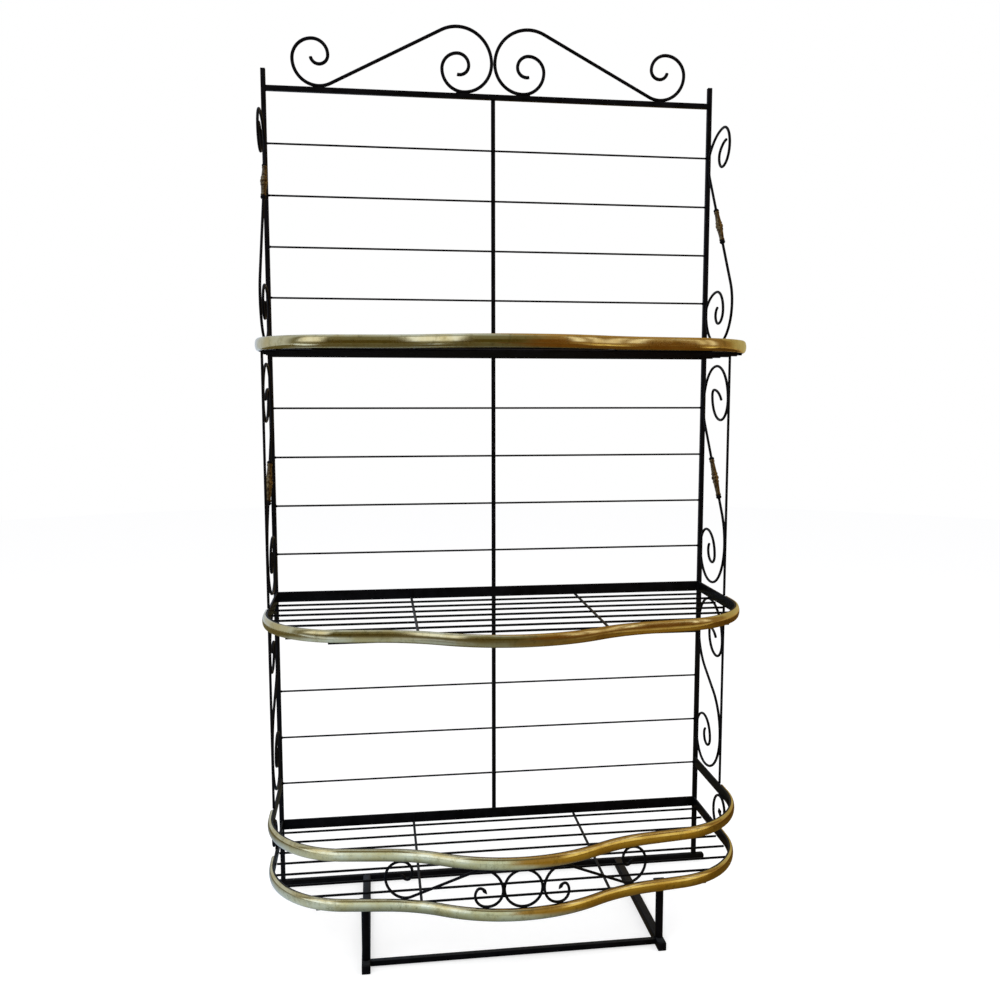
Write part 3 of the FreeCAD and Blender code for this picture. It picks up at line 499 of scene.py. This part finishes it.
clearHalf = high("top_rail")[0]
railZ = middle("top_rail")[2]
railSection = high("top_rail") - low("top_rail")
addPiece("top_rail_bar", [bar((-clearHalf, backY, railZ), (clearHalf, backY, railZ), up,
                              railSection[1], railSection[2])], iron, "top_rail")
centreY = middle("centre_bar")[1]
centreFoot, centreHead = low("centre_bar")[2], high("centre_bar")[2]
addPiece("centre_bar_flat", [bar((0, centreY, centreFoot), (0, centreY, centreHead), across,
                                 backFrame["flat"], backFrame["centreWidth"])], iron, "centre_bar")


def levels(name, diameter, axis):
    # The heights, or depths, at which a node's rods lie, read from its solid.
    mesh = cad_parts[name].data
    spots = np.empty(len(mesh.vertices) * 3)
    mesh.vertices.foreach_get("co", spots)
    spots = np.sort(spots.reshape(-1, 3)[:, axis])
    groups = np.split(spots, np.flatnonzero(np.diff(spots) > diameter) + 1)
    return [(group[0] + group[-1]) / 2 for group in groups]


backRods = {"radius": 0.002, "wire": 0.0023, "bead": 0.0029, "beadInset": 0.0012}
for level in ("upper", "middle", "lower"):
    name = f"back_rods_{level}"
    y = middle(name)[1]
    surfaces = []
    for k, z in enumerate(levels(name, 2 * backRods["radius"], 2)):
        surfaces.append(rod((-clearHalf, y, z), (clearHalf, y, z), backRods["wire"]))
        for end in (-1, 1):
            place = (end * (clearHalf - backRods["beadInset"]), y, z)
            surfaces.append(weldBead(place, backRods["bead"], seed=k + end))
    addPiece(f"{name}_wires", surfaces, iron, name)
print("back frame built")


# Crest and side scrolls.

crest = {"wire": 0.008, "innerRadius": 0.082, "outerRadius": 0.060, "outerPlace": 0.412, "bead": 0.0042,
         "innerTurns": [(1, 90), (0.82, 90), (0.63, 90), (0.45, 90), (0.33, 90), (0.27, 106)],
         "outerTurns": [(1, 90), (0.77, 90), (0.6, 90), (0.35, 90), (0.32, 80)]}
crestSeat = high("top_rail")[2] + crest["wire"] / 2
crestInner = {"centre": (crest["wire"] / 2 + crest["innerRadius"],
                         crestSeat + crest["innerRadius"] * crest["innerTurns"][1][0]),
              "radius": crest["innerRadius"], "turns": crest["innerTurns"]}
crestOuter = {"centre": (crest["outerPlace"], crestSeat + crest["outerRadius"]),
              "radius": crest["outerRadius"], "turns": crest["outerTurns"]}
crestPath = scrollPath(crestInner, crestOuter)
for side, sign in sides.items():
    name = f"crest_scroll_{side}"
    wire = carried(inFront(crestPath, backY, sign), forward, roundSection(crest["wire"] / 2, 18), 0.0012)
    beads = []
    for place in (crestInner["centre"][0], crest["outerPlace"]):
        seat = (sign * place, backY, crestSeat - crest["wire"] / 2)
        beads.append(weldBead(seat, crest["bead"], seed=place * 40))
    addPiece(f"{name}_wire", [wire, *beads], iron, name)

wireDiameter = 0.00635
barStart = backFrame["side"] / 2         # the front face of the uprights, where the side bars begin
panel = {"rear": barStart + wireDiameter / 2, "front": 0.182325, "x": middle("side_scroll_upper_right")[0]}
panel["half"] = (panel["front"] - panel["rear"]) / 2


def spanning(first, second):
    # The share of the quarter turn that brings a loop across the panel after two eighth turns.
    return 2 - first * (1 - math.sqrt(0.5)) - second * math.sqrt(0.5)


def circle(centre, radius, turns):
    return {"centre": centre, "radius": radius, "turns": turns}


def panelLoops(lowHeight, lowShare, lowTurns, highHeight, highShare, highTurns):
    # Two loops that fill the panel's depth, every share counted of its half depth.
    lowRadius, highRadius = panel["half"] * lowShare, panel["half"] * highShare
    return {"low": circle((lowRadius - panel["front"], lowHeight), lowRadius,
                          [(share / lowShare, span) for share, span in lowTurns]),
            "high": circle((-panel["rear"] - highRadius, highHeight), highRadius,
                           [(share / highShare, span) for share, span in highTurns])}


upperSeat = high("shelf_top_frame_bar")[2] + wireDiameter / 2
upperLoops = {"low": 0.0926, "high": 0.079, "highHeight": 1.8123}
upperTurns = {"low": [(1, 135), (0.86, 45), (0.22, 45), (1.08, 45), (0.49, 90), (0.34, 90), (0.22, 90),
                      (0.21, 70)],
              "high": [(0.43, 45), (1.61, 45), (0.57, 90), (0.57, 90), (0.32, 90), (0.25, 45), (0.8, 42)]}
sideScrolls = {
    "upper": {"low": circle((-(panel["rear"] + upperLoops["low"]), upperSeat + upperLoops["low"]),
                            upperLoops["low"], upperTurns["low"]),
              "high": circle((-(panel["rear"] + upperLoops["high"]), upperLoops["highHeight"]),
                             upperLoops["high"], upperTurns["high"])},
    "middle": panelLoops(
        0.880, 1.6, [(1.32, 45), (0.96, 45), (spanning(1.32, 0.96), 90), (0.55, 90), (0.68, 90), (0.22, 90),
                     (0.33, 90), (0.22, 50)],
        1.213, 0.96, [(1.19, 45), (1, 45), (spanning(1.19, 1), 90), (0.56, 90), (0.7, 90), (0.14, 90),
                      (0.79, 50)]),
    "lower": panelLoops(
        0.4027, 1.405, [(1.24, 45), (1.15, 45), (spanning(1.24, 1.15), 90), (0.62, 90), (0.57, 90),
                        (0.25, 90), (0.26, 90), (0.22, 50)],
        0.6484, 1.405, [(0.94, 45), (0.95, 45), (spanning(0.94, 0.95), 90), (0.47, 90), (0.59, 90),
                        (0.12, 90), (0.56, 50)]),
}
for level, circles in sideScrolls.items():
    path = scrollPath(circles["low"], circles["high"])
    for side, sign in sides.items():
        name = f"side_scroll_{level}_{side}"
        wire = carried(inPanel(path, sign * panel["x"]), across, roundSection(wireDiameter / 2), 0.001)
        addPiece(f"{name}_wire", [wire], iron, name)


# Brass collars on the scroll stems: two cones that meet at a bead, with a smaller bead at each end.

collars = {"bead": 0.0090, "waist": 0.0050, "shoulder": 0.0074, "endBead": 0.0064, "ringRise": 0.0006,
           "beadReach": 0.0038, "endReach": 0.003, "ringReach": 0.0016, "ringPlace": 0.22,
           "knob": 0.0068, "knobGap": 0.0035,
           "length": {"upper": 0.087, "middle": 0.100}, "lift": {"upper": 0.0, "middle": -0.0035}}
knobShape = np.array([(-0.55, 0.55), (-0.38, 0.85), (0, 1), (0.38, 0.85), (0.55, 0.55)])


def collarProfile(length):
    # Rows of distance along the stem and radius, from one end to the other.
    half = length / 2
    inset = collars["endReach"]
    end = (collars["endBead"], inset)
    ring = (collars["shoulder"] + collars["ringRise"], collars["ringReach"])
    beads = {-half + inset: end, 0.0: (collars["bead"], collars["beadReach"]), half - inset: end,
             -half * collars["ringPlace"]: ring, half * collars["ringPlace"]: ring}
    along = np.linspace(-half, half, 96)
    cone = collars["shoulder"] - (collars["shoulder"] - collars["waist"]) * np.abs(along) / half
    for place, (radius, reach) in beads.items():
        share = np.clip(1 - ((along - place) / reach) ** 2, 0, 1)
        cone = np.maximum(cone, cone + (radius - cone) * np.sqrt(share))
    return np.column_stack([along, cone])


for level in ("upper", "middle"):
    for side, sign in sides.items():
        name = f"brass_collar_{level}_{side}"
        circles = sideScrolls[level]
        angle = stemAngle(circles["low"], circles["high"])
        axis = np.array([0, -math.sin(angle), math.cos(angle)])
        axis = axis * np.sign(axis[2])
        centre = middle(name) + axis * collars["lift"][level]
        length = collars["length"][level]
        spindle = turned(collarProfile(length), centre, axis)
        addPiece(f"{name}_turned", [spindle], agedBrass, name, 60)
        ball = knobShape * collars["knob"]
        reach = length / 2 + collars["knobGap"]
        knobs = [turned(ball, centre + axis * end * reach, axis, 18) for end in (-1, 1)]
        addPiece(f"collar_knobs_{level}_{side}", knobs, iron, (), 60)
print("scrolls and collars built")


# Shelves. The plan curve of a frame bar: half of it, then its mirror image.

plan = {"sidePlane": 0.537, "depth": 0.5084, "bulge": 0.363, "hollow": 0.368, "corner": 0.190,
        "bulgeAngle": 27, "straightAngle": 7.5, "flat": 0.0048, "height": 0.0254,
        "trimDepth": 0.0073, "trimHeight": 0.027, "trimStart": 0.196}


def planCurve(start):
    # Points (x, depth): a side bar from its start, a corner, a straight, a hollow and half the bulge.
    bulge, lean = math.radians(plan["bulgeAngle"]), math.radians(plan["straightAngle"])
    reach = plan["bulge"] + plan["hollow"]
    bulgeCentre = np.array([0, plan["depth"] - plan["bulge"]])
    hollowCentre = bulgeCentre + reach * np.array([math.sin(bulge), math.cos(bulge)])
    straightStart = hollowCentre - plan["hollow"] * np.array([math.sin(lean), math.cos(lean)])
    cornerX = plan["sidePlane"] - plan["corner"]
    endX = cornerX + plan["corner"] * math.sin(lean)
    endDepth = straightStart[1] - (endX - straightStart[0]) * math.tan(lean)
    corner = np.array([cornerX, endDepth - plan["corner"] * math.cos(lean)])
    half = joined(straight((plan["sidePlane"], start), (plan["sidePlane"], corner[1])),
                  arc(corner, plan["corner"], 0, 90 - plan["straightAngle"], 2.5),
                  straight((endX, endDepth), straightStart),
                  arc(hollowCentre, plan["hollow"], -90 - plan["straightAngle"],
                      -90 - plan["bulgeAngle"], 1.5),
                  arc(bulgeCentre, plan["bulge"], 90 - plan["bulgeAngle"], 90, 1.5))
    return joined(half, half[::-1] * (-1, 1))


def atHeight(path, z):
    return np.column_stack([path[:, 0], backY - path[:, 1], np.full(len(path), z)])


frameSection = easedSection(plan["flat"], plan["height"], 0.0009)
trimSection = halfRoundSection(plan["flat"] / 2, plan["trimDepth"], plan["trimHeight"])
for shelf in ("gallery", "shelf_top", "shelf_middle", "shelf_bottom"):
    name = f"{shelf}_frame_bar"
    z = middle(name)[2]
    flat = carried(atHeight(planCurve(barStart), z), up, frameSection)
    addPiece(f"{name}_flat", [flat], iron, name)
    trim = carried(atHeight(planCurve(plan["trimStart"]), z), up, trimSection, 0.0012)
    addPiece(f"{shelf}_brass_moulding", [trim], brass, f"{shelf}_brass_trim", 50)

grid = {"radius": 0.00275, "endGap": 0.0001, "strip": (0.006, 0.003), "bend": 0.004}
for shelf in ("top", "middle", "bottom"):
    name = f"shelf_{shelf}_grid_rods"
    z = middle(name)[2]
    curve = planCurve(barStart)
    curve = curve[curve[:, 0] > plan["sidePlane"] - plan["corner"]]
    panelReach = panel["x"] - wireDiameter / 2 - grid["endGap"]
    surfaces = []
    for y in levels(name, 2 * grid["radius"], 1):
        reach = min(np.interp(backY - y, curve[:, 1], curve[:, 0]), panelReach)
        surfaces.append(rod((-reach, y, z), (reach, y, z), grid["radius"]))
    addPiece(f"{name}_wires", surfaces, iron, name)

    name = f"shelf_{shelf}_rear_rail"
    z = middle(name)[2]
    rail = bar((-clearHalf, backY, z), (clearHalf, backY, z), up, plan["flat"], plan["height"])
    addPiece(f"{name}_flat", [rail], iron, name)

    name = f"shelf_{shelf}_crossbars"
    bottom, top = low(name), high(name)
    strips = []
    for sign in (-1, 1):
        x = sign * (top[0] - grid["strip"][0] / 2)
        thick, bend = grid["strip"][1], grid["bend"]
        backEnd, frontEnd = top[1] - thick / 2, bottom[1]
        flat = bottom[2] + thick / 2
        path = joined(straight((backEnd, top[2]), (backEnd, flat + bend), 0.01),
                      arc((backEnd - bend, flat + bend), bend, 0, -90, 18),
                      straight((backEnd - bend, flat), (frontEnd, flat), 0.05))
        path = np.column_stack([np.full(len(path), x), path])
        strips.append(carried(path, across, easedSection(thick, grid["strip"][0], 0.0005), 0.0005))
    addPiece(f"{name}_strips", strips, iron, name)
print("shelves built")


# Front posts.

post = {"radius": 0.003}
for level in ("upper", "lower"):
    for side in sides:
        name = f"front_post_{level}_{side}"
        foot, head = middle(name), middle(name)
        foot[2], head[2] = low(name)[2], high(name)[2]
        addPiece(f"{name}_rod", [rod(foot, head, post["radius"], 14)], iron, name)


# Gallery: scrolls and a ring under the upper bar, and a comma curl at each side.

apron = {"wire": 0.006, "turns": [(1, 180), (0.5, 90), (0.62, 38), (0.22, 105)],
         "inner": 0.0812, "outer": 0.2475, "inset": 0.0017, "planReach": 0.28}
ring = middle("apron_ring")
apron["radius"] = ring[2] - low("apron_ring")[2] - apron["wire"] / 2
ringPath = arc((0, ring[2]), apron["radius"], 0, 356, 4)
addPiece("apron_ring_wire", [carried(inFront(ringPath, ring[1]), forward, roundSection(apron["wire"] / 2),
                                     closed=True)], iron, "apron_ring")


def onPlan(x):
    # The place (x, y) behind the front bar's middle at a distance x from the rack's middle.
    curve = planCurve(barStart)
    curve = curve[(curve[:, 0] < apron["planReach"]) & (curve[:, 0] >= 0)][::-1]
    return np.array([x, backY - np.interp(x, curve[:, 0], curve[:, 1]) + apron["inset"]])


inner, outer = onPlan(apron["inner"]), onPlan(apron["outer"])
run = np.linalg.norm(outer - inner)
flat = scrollPath(circle((0, ring[2]), apron["radius"], apron["turns"]),
                  circle((run, ring[2]), apron["radius"], apron["turns"]))
ground = inner + flat[:, :1] * (outer - inner) / run
for side, sign in sides.items():
    path = np.column_stack([sign * ground[:, 0], ground[:, 1], flat[:, 1]])
    normal = np.cross([sign * (outer - inner)[0] / run, (outer - inner)[1] / run, 0], up)
    wire = carried(path, normal, roundSection(apron["wire"] / 2), 0.0012)
    points = [beak(path, apron["wire"] / 2, back) for back in (False, True)]
    addPiece(f"apron_scroll_{side}_wire", [wire, *points], iron, f"apron_scroll_{side}")

comma = {"lean": 42.7, "start": 0.1697, "turns": [(0.65, 90), (0.4, 90), (0.34, 60)]}
galleryLow, galleryTop = high("shelf_bottom_frame_bar")[2], low("gallery_frame_bar")[2]
leanCos = math.cos(math.radians(comma["lean"]))
commaRadius = (galleryTop - galleryLow - wireDiameter / 2 * (1 + leanCos)) / (1 + leanCos)
commaCentre = (-(comma["start"] + commaRadius * math.sin(math.radians(comma["lean"]))),
               galleryTop - wireDiameter / 2 - commaRadius)
commaPath = joined(arc(commaCentre, commaRadius, comma["lean"] - 90, 90),
                   curl(commaCentre, commaRadius, 90, comma["turns"]))
for side, sign in sides.items():
    name = f"gallery_side_scroll_{side}"
    path = inPanel(commaPath, middle(name)[0])
    wire = carried(path, across, roundSection(wireDiameter / 2), 0.001)
    addPiece(f"{name}_wire", [wire, beak(path, wireDiameter / 2)], iron, name)
print("gallery built")


# Base.

base = {"tube": 0.0095, "legRadius": 0.00875, "crossbar": 0.012, "plate": 0.025, "plateBehind": 0.002}
tubeHalf = high("base_rear_rail")[0]
tubeZ = middle("base_rear_rail")[2]
tubePath = straight((-tubeHalf, backY, tubeZ), (tubeHalf, backY, tubeZ), 0.1)
tube = carried(tubePath, up, roundSection(base["tube"], 32))
addPiece("base_rear_rail_tube", [tube], iron, "base_rear_rail")
for side, sign in sides.items():
    name = f"base_end_cap_{side}"
    depth = high(name)[0] - low(name)[0]
    dome = (base["tube"] ** 2 + depth ** 2) / (2 * depth)
    spread = np.linspace(math.asin(base["tube"] / dome), 0.02, 9)
    profile = np.column_stack([depth - dome + dome * np.cos(spread), dome * np.sin(spread)])
    addPiece(f"{name}_dome", [turned(profile, (sign * tubeHalf, backY, tubeZ), (sign, 0, 0), 32)], iron, name)

    name = f"runner_{side}"
    x, y, z = middle(name)
    square = 2 * base["tube"]
    rear, front = backY - base["tube"] / 2, low(name)[1]
    addPiece(f"{name}_square", [bar((x, rear, z), (x, front, z), up, square, square, 0.0018)], iron, name)
    name = f"runner_cap_{side}"
    tip = carried(straight((x, high(name)[1], z), (x, low(name)[1], z), 0.002), up,
                  easedSection(square, square, 0.002), 0.0018)
    addPiece(f"{name}_tip", [tip], iron, name)

    name = f"leg_{side}"
    x, y, z = middle(name)
    legPath = straight((x, y, low(name)[2]), (x, y, high(name)[2]), 0.03)
    leg = carried(legPath, across, roundSection(base["legRadius"], 24))
    addPiece(f"{name}_rod", [leg], iron, name)

left = low("base_crossbar")[0]
y, z = middle("base_crossbar")[1:]
crossbar = bar((left, y, z), (-left, y, z), up, base["crossbar"], base["crossbar"], 0.001)
addPiece("base_crossbar_square", [crossbar], iron, "base_crossbar")
plateLow, plateHigh = low("leg_plates"), high("leg_plates")
z = (plateLow[2] + plateHigh[2]) / 2
rear = min(plateHigh[1], high("leg_left")[1] + base["plateBehind"])
thick = plateHigh[2] - plateLow[2]
plates = []
for sign in (-1, 1):
    x = sign * (plateHigh[0] - base["plate"] / 2)
    plates.append(bar((x, rear, z), (x, plateLow[1], z), up, base["plate"], thick, 0.0007))
addPiece("leg_plates_flat", plates, iron, "leg_plates")
print("base built")


# Camera, floor and light.

view = {"place": (-0.2988, -2.1946, 1.2443), "yaw": 8.041, "pitch": 6.210, "roll": 0.0438,
        "focalPixels": 989.17, "centrePixels": (512.38, 501.24), "imagePixels": 1000}


def addCamera():
    yaw, pitch, roll = (math.radians(view[name]) for name in ("yaw", "pitch", "roll"))
    ahead = Vector((math.sin(yaw) * math.cos(pitch), math.cos(yaw) * math.cos(pitch), -math.sin(pitch)))
    right = Vector((math.cos(yaw), -math.sin(yaw), 0))
    above = right.cross(ahead)
    turnedRight = math.cos(roll) * right + math.sin(roll) * above
    turnedAbove = math.cos(roll) * above - math.sin(roll) * right
    data = bpy.data.cameras.new("camera")
    data.sensor_fit = "HORIZONTAL"
    data.lens = data.sensor_width * view["focalPixels"] / view["imagePixels"]
    data.shift_x = (view["imagePixels"] / 2 - view["centrePixels"][0]) / view["imagePixels"]
    data.shift_y = (view["centrePixels"][1] - view["imagePixels"] / 2) / view["imagePixels"]
    data.clip_start = 0.05
    camera = bpy.data.objects.new("camera", data)
    turning = Matrix((turnedRight, turnedAbove, -ahead)).transposed().to_4x4()
    camera.matrix_world = Matrix.Translation(view["place"]) @ turning
    bpy.context.scene.collection.objects.link(camera)
    bpy.context.scene.camera = camera


addCamera()


def seenDirectly(tree):
    # 1 for camera, glossy and transmission rays, 0 for the rest.
    path = tree.nodes.new("ShaderNodeLightPath")
    first = node(tree, "ShaderNodeMath", operation="MAXIMUM")
    second = node(tree, "ShaderNodeMath", operation="MAXIMUM")
    tree.links.new(path.outputs["Is Camera Ray"], first.inputs[0])
    tree.links.new(path.outputs["Is Glossy Ray"], first.inputs[1])
    tree.links.new(first.outputs[0], second.inputs[0])
    tree.links.new(path.outputs["Is Transmission Ray"], second.inputs[1])
    return second.outputs[0]


def stagePiece(name, points, faces, material):
    mesh = bpy.data.meshes.new(name)
    mesh.from_pydata(points, [], faces)
    mesh.materials.append(material)
    mesh.polygons.foreach_set("use_smooth", np.ones(len(mesh.polygons), dtype=bool))
    piece = bpy.data.objects.new(name, mesh)
    bpy.context.scene.collection.objects.link(piece)
    return piece


def addFloor():
    material, tree, shader = newFinish("floor paper")
    shader.inputs["Base Color"].default_value = (0.6, 0.6, 0.6, 1)
    shader.inputs["Roughness"].default_value = 0.9
    shader.inputs["Specular IOR Level"].default_value = 0.0
    glow = node(tree, "ShaderNodeMath", operation="MULTIPLY")
    glow.inputs[1].default_value = 0.59
    tree.links.new(seenDirectly(tree), glow.inputs[0])
    shader.inputs["Emission Color"].default_value = (1, 1, 1, 1)
    tree.links.new(glow.outputs[0], shader.inputs["Emission Strength"])
    turn = np.linspace(0, 2 * np.pi, 64, endpoint=False)
    rim = 9.0 * np.column_stack([np.cos(turn), np.sin(turn), 0 * turn])
    rim[:, 2] = -0.0005
    floor = stagePiece("floor", rim.tolist(), [list(range(64))], material)
    floor.visible_glossy = False


def addWorld():
    world = bpy.data.worlds.new("studio")
    world.use_nodes = True
    tree = world.node_tree
    background = tree.nodes["Background"]
    colour = blend(tree, seenDirectly(tree), (0.65, 0.65, 0.66), (1.0, 1.0, 1.0))
    tree.links.new(colour, background.inputs["Color"])
    background.inputs["Strength"].default_value = 1.0
    bpy.context.scene.world = world


def addSoftbox(name, place, target, size, power, colour):
    data = bpy.data.lights.new(name, "AREA")
    data.shape = "RECTANGLE"
    data.size, data.size_y = size
    data.energy = power
    data.color = colour
    lamp = bpy.data.objects.new(name, data)
    lamp.location = place
    lamp.rotation_euler = (Vector(target) - Vector(place)).to_track_quat("-Z", "Y").to_euler()
    lamp.visible_glossy = False
    bpy.context.scene.collection.objects.link(lamp)


reflected = {"radius": 5.0, "centre": (0.0, -0.3, 1.1), "floorZ": -0.003, "shadeZ": 0.72,
             "screenY": -1.35}


def toneFinish():
    # Lit by the tones. The tone's alpha and a view from beneath let rays pass.
    material = bpy.data.materials.new("room tones")
    material.use_nodes = True
    tree = material.node_tree
    tree.nodes.clear()
    link = tree.links.new
    tones = node(tree, "ShaderNodeAttribute", attribute_name="tone")
    glow = node(tree, "ShaderNodeEmission")
    clear = node(tree, "ShaderNodeBsdfTransparent")
    front = node(tree, "ShaderNodeMath", operation="SUBTRACT")
    front.inputs[0].default_value = 1.0
    share = node(tree, "ShaderNodeMath", operation="MULTIPLY")
    mix = node(tree, "ShaderNodeMixShader")
    out = node(tree, "ShaderNodeOutputMaterial")
    link(tones.outputs["Color"], glow.inputs["Color"])
    link(node(tree, "ShaderNodeNewGeometry").outputs["Backfacing"], front.inputs[1])
    link(front.outputs[0], share.inputs[0])
    link(tones.outputs["Alpha"], share.inputs[1])
    link(share.outputs[0], mix.inputs[0])
    link(clear.outputs[0], mix.inputs[1])
    link(glow.outputs[0], mix.inputs[2])
    link(mix.outputs[0], out.inputs["Surface"])
    return material


def mirroredSheet(name, points, tones, material, alpha=None):
    # A sheet of the room that only the brass and the enamel mirror. It is lit by its own tones.
    alpha = np.ones(points.shape[:2]) if alpha is None else alpha
    index = np.arange(points[..., 0].size).reshape(points.shape[:2])
    faces = np.stack([index[:-1, :-1], index[:-1, 1:], index[1:, 1:], index[1:, :-1]], -1).reshape(-1, 4)
    sheet = stagePiece(name, points.reshape(-1, 3).tolist(), faces.tolist(), material)
    tone = sheet.data.attributes.new("tone", "FLOAT_COLOR", "POINT")
    tone.data.foreach_set("color", np.concatenate([tones, alpha[..., None]], -1).ravel())
    for kind in ("camera", "diffuse", "transmission", "volume_scatter", "shadow"):
        setattr(sheet, f"visible_{kind}", False)


def addRoom():
    # The walls: point = centre + radius (sin a cos e, -cos a cos e, sin e), a the angle from the front and e
    # the angle above level. The ground, the shade and the screen are flat: point = (x, y, z).
    material = toneFinish()
    angle = np.radians(np.linspace(-180, 180, 181))
    rise = np.radians(np.linspace(-35, 90, 76))
    a, e = np.meshgrid(angle, rise, indexing="ij")
    centre = np.array(reflected["centre"])
    aim = np.stack([np.sin(a) * np.cos(e), -np.cos(a) * np.cos(e), np.sin(e)], -1)
    walls = centre + reflected["radius"] * aim
    mirroredSheet("room walls", walls, wallTones(np.degrees(a), np.degrees(e)), material)
    x, y = np.meshgrid(np.linspace(6, -6, 121), np.linspace(-6, 6, 121), indexing="ij")
    ground = np.stack([x, y, np.full_like(x, reflected["floorZ"])], -1)
    mirroredSheet("room ground", ground, groundTones(x, -y), material)
    x, y = np.meshgrid(np.linspace(1.7, -1.5, 65), np.linspace(-2.0, -0.1, 39), indexing="ij")
    shade = np.stack([x, y, np.full_like(x, reflected["shadeZ"])], -1)
    edge = smooth(x, -1.5, -1.0) * (1 - smooth(x, 1.2, 1.7))
    edge = edge * smooth(y, -2.0, -1.5) * (1 - smooth(y, -0.35, -0.1))
    tones = fade((0.13, 0.12, 0.07), (0.17, 0.075, 0.012), smooth(x, -0.1, 0.4)[..., None])
    mirroredSheet("room shade", shade, tones, material, edge)
    heights = np.linspace(reflected["floorZ"], reflected["shadeZ"], 13)
    x, z = np.meshgrid(np.linspace(-4, 4, 161), heights, indexing="ij")
    screen = np.stack([x, np.full_like(x, reflected["screenY"]), z], -1)
    edge = (1 - smooth(z, 0.62, 0.72)) * smooth(x, -4, -3) * (1 - smooth(x, 3, 4))
    mirroredSheet("room screen", screen, screenTones(x), material, edge)


def smooth(value, start, end):
    share = np.clip((value - start) / (end - start), 0, 1)
    return share * share * (3 - 2 * share)


def fade(first, second, share):
    return np.array(first) * (1 - share) + np.array(second) * share


# Each patch: left, right, lowest and highest angle, softness sideways and upright, then its colour.
wallPatches = {"dark left": ((-40, 12, -12, 14, 7, 5), (0.09, 0.07, 0.015)),
               "dark right": ((12, 42, -12, 16, 7, 5), (0.18, 0.08, 0.012)),
               "window left": ((-66, -36, 3, 42, 5, 7), (1.15, 1.3, 1.6)),
               "wall left": ((-200, -80, -20, 44, 8, 8), (0.62, 0.72, 0.90)),
               "lamp near": ((44, 52, 4, 40, 3, 3), (1.35, 1.3, 1.15)),
               "lamp far": ((59, 68, 0, 36, 4, 4), (1.2, 1.1, 0.9)),
               "wall right": ((96, 150, -12, 40, 6, 6), (0.55, 0.48, 0.24)),
               "paper left": ((-200, -60, -60, -8, 6, 3), (0.62, 0.74, 0.95)),
               "paper right": ((50, 200, -60, -8, 6, 3), (0.6, 0.42, 0.16))}


def wallTones(a, e):
    # Colour by direction: a dark room, cool at the left and brown at the right, with a paler ceiling, then
    # the patches laid over it in turn.
    tone = fade((0.20, 0.20, 0.13), (0.34, 0.21, 0.07), smooth(a, 5, 40)[..., None])
    ceiling = fade((0.46, 0.53, 0.62), (0.56, 0.40, 0.18), smooth(a, -5, 60)[..., None])
    ceiling = fade((0.72, 0.88, 1.25), ceiling, smooth(a, -80, -25)[..., None])
    tone = fade(tone, ceiling, smooth(e, 34, 62)[..., None])
    for (left, right, lowest, highest, soft, rise), colour in wallPatches.values():
        wide = smooth(a, left - soft, left + soft) * (1 - smooth(a, right - soft, right + soft))
        tall = smooth(e, lowest - rise, lowest + rise) * (1 - smooth(e, highest - rise, highest + rise))
        tone = fade(tone, colour, (wide * tall)[..., None])
    return tone


def screenTones(x):
    # Lit paper low before the rack: cool at the left, a brown fold in the middle, gold at the right.
    tone = fade((1.3, 1.65, 2.5), (0.76, 0.96, 1.15), smooth(x, -0.95, -0.55)[..., None])
    tone = fade(tone, (0.42, 0.29, 0.10), smooth(x, -0.15, 0.15)[..., None])
    return fade(tone, (1.15, 0.95, 0.42), smooth(x, 0.7, 1.1)[..., None])


def groundTones(x, forward):
    # Colour by place: light falls on the ground before the rack, cool at its left and amber at its right.
    reach = smooth(np.hypot(0.7 * x, forward - 0.6), 0.5, 1.7)[..., None]
    right = smooth(x + 0.25 * forward, 0.1, 0.4)[..., None]
    lit = np.maximum(smooth(forward, 0.15, 0.65), 0.8 * smooth(-x, 0.35, 0.6))[..., None]
    pale = fade((0.55, 0.71, 0.84), (0.75, 1.0, 1.5), smooth(-x, 0.3, 0.65)[..., None])
    cool = fade((0.17, 0.23, 0.31), pale, lit)
    amber = fade((0.16, 0.10, 0.02), (0.36, 0.23, 0.035), lit)
    near = fade(cool, amber, right)
    far = fade((0.16, 0.15, 0.08), (0.12, 0.06, 0.012), right)
    return fade(near, far, reach)


addFloor()
addWorld()
addRoom()
lampTarget = (0, 0, 0.9)
addSoftbox("key", (-1.6, -2.4, 3.2), lampTarget, (2.2, 2.2), 60, (0.95, 0.98, 1.0))
addSoftbox("fill", (2.4, -1.6, 2.2), lampTarget, (2.0, 2.0), 22, (1.0, 0.95, 0.88))
bpy.context.scene.view_settings.view_transform = "Standard"
print("camera, floor and light set")
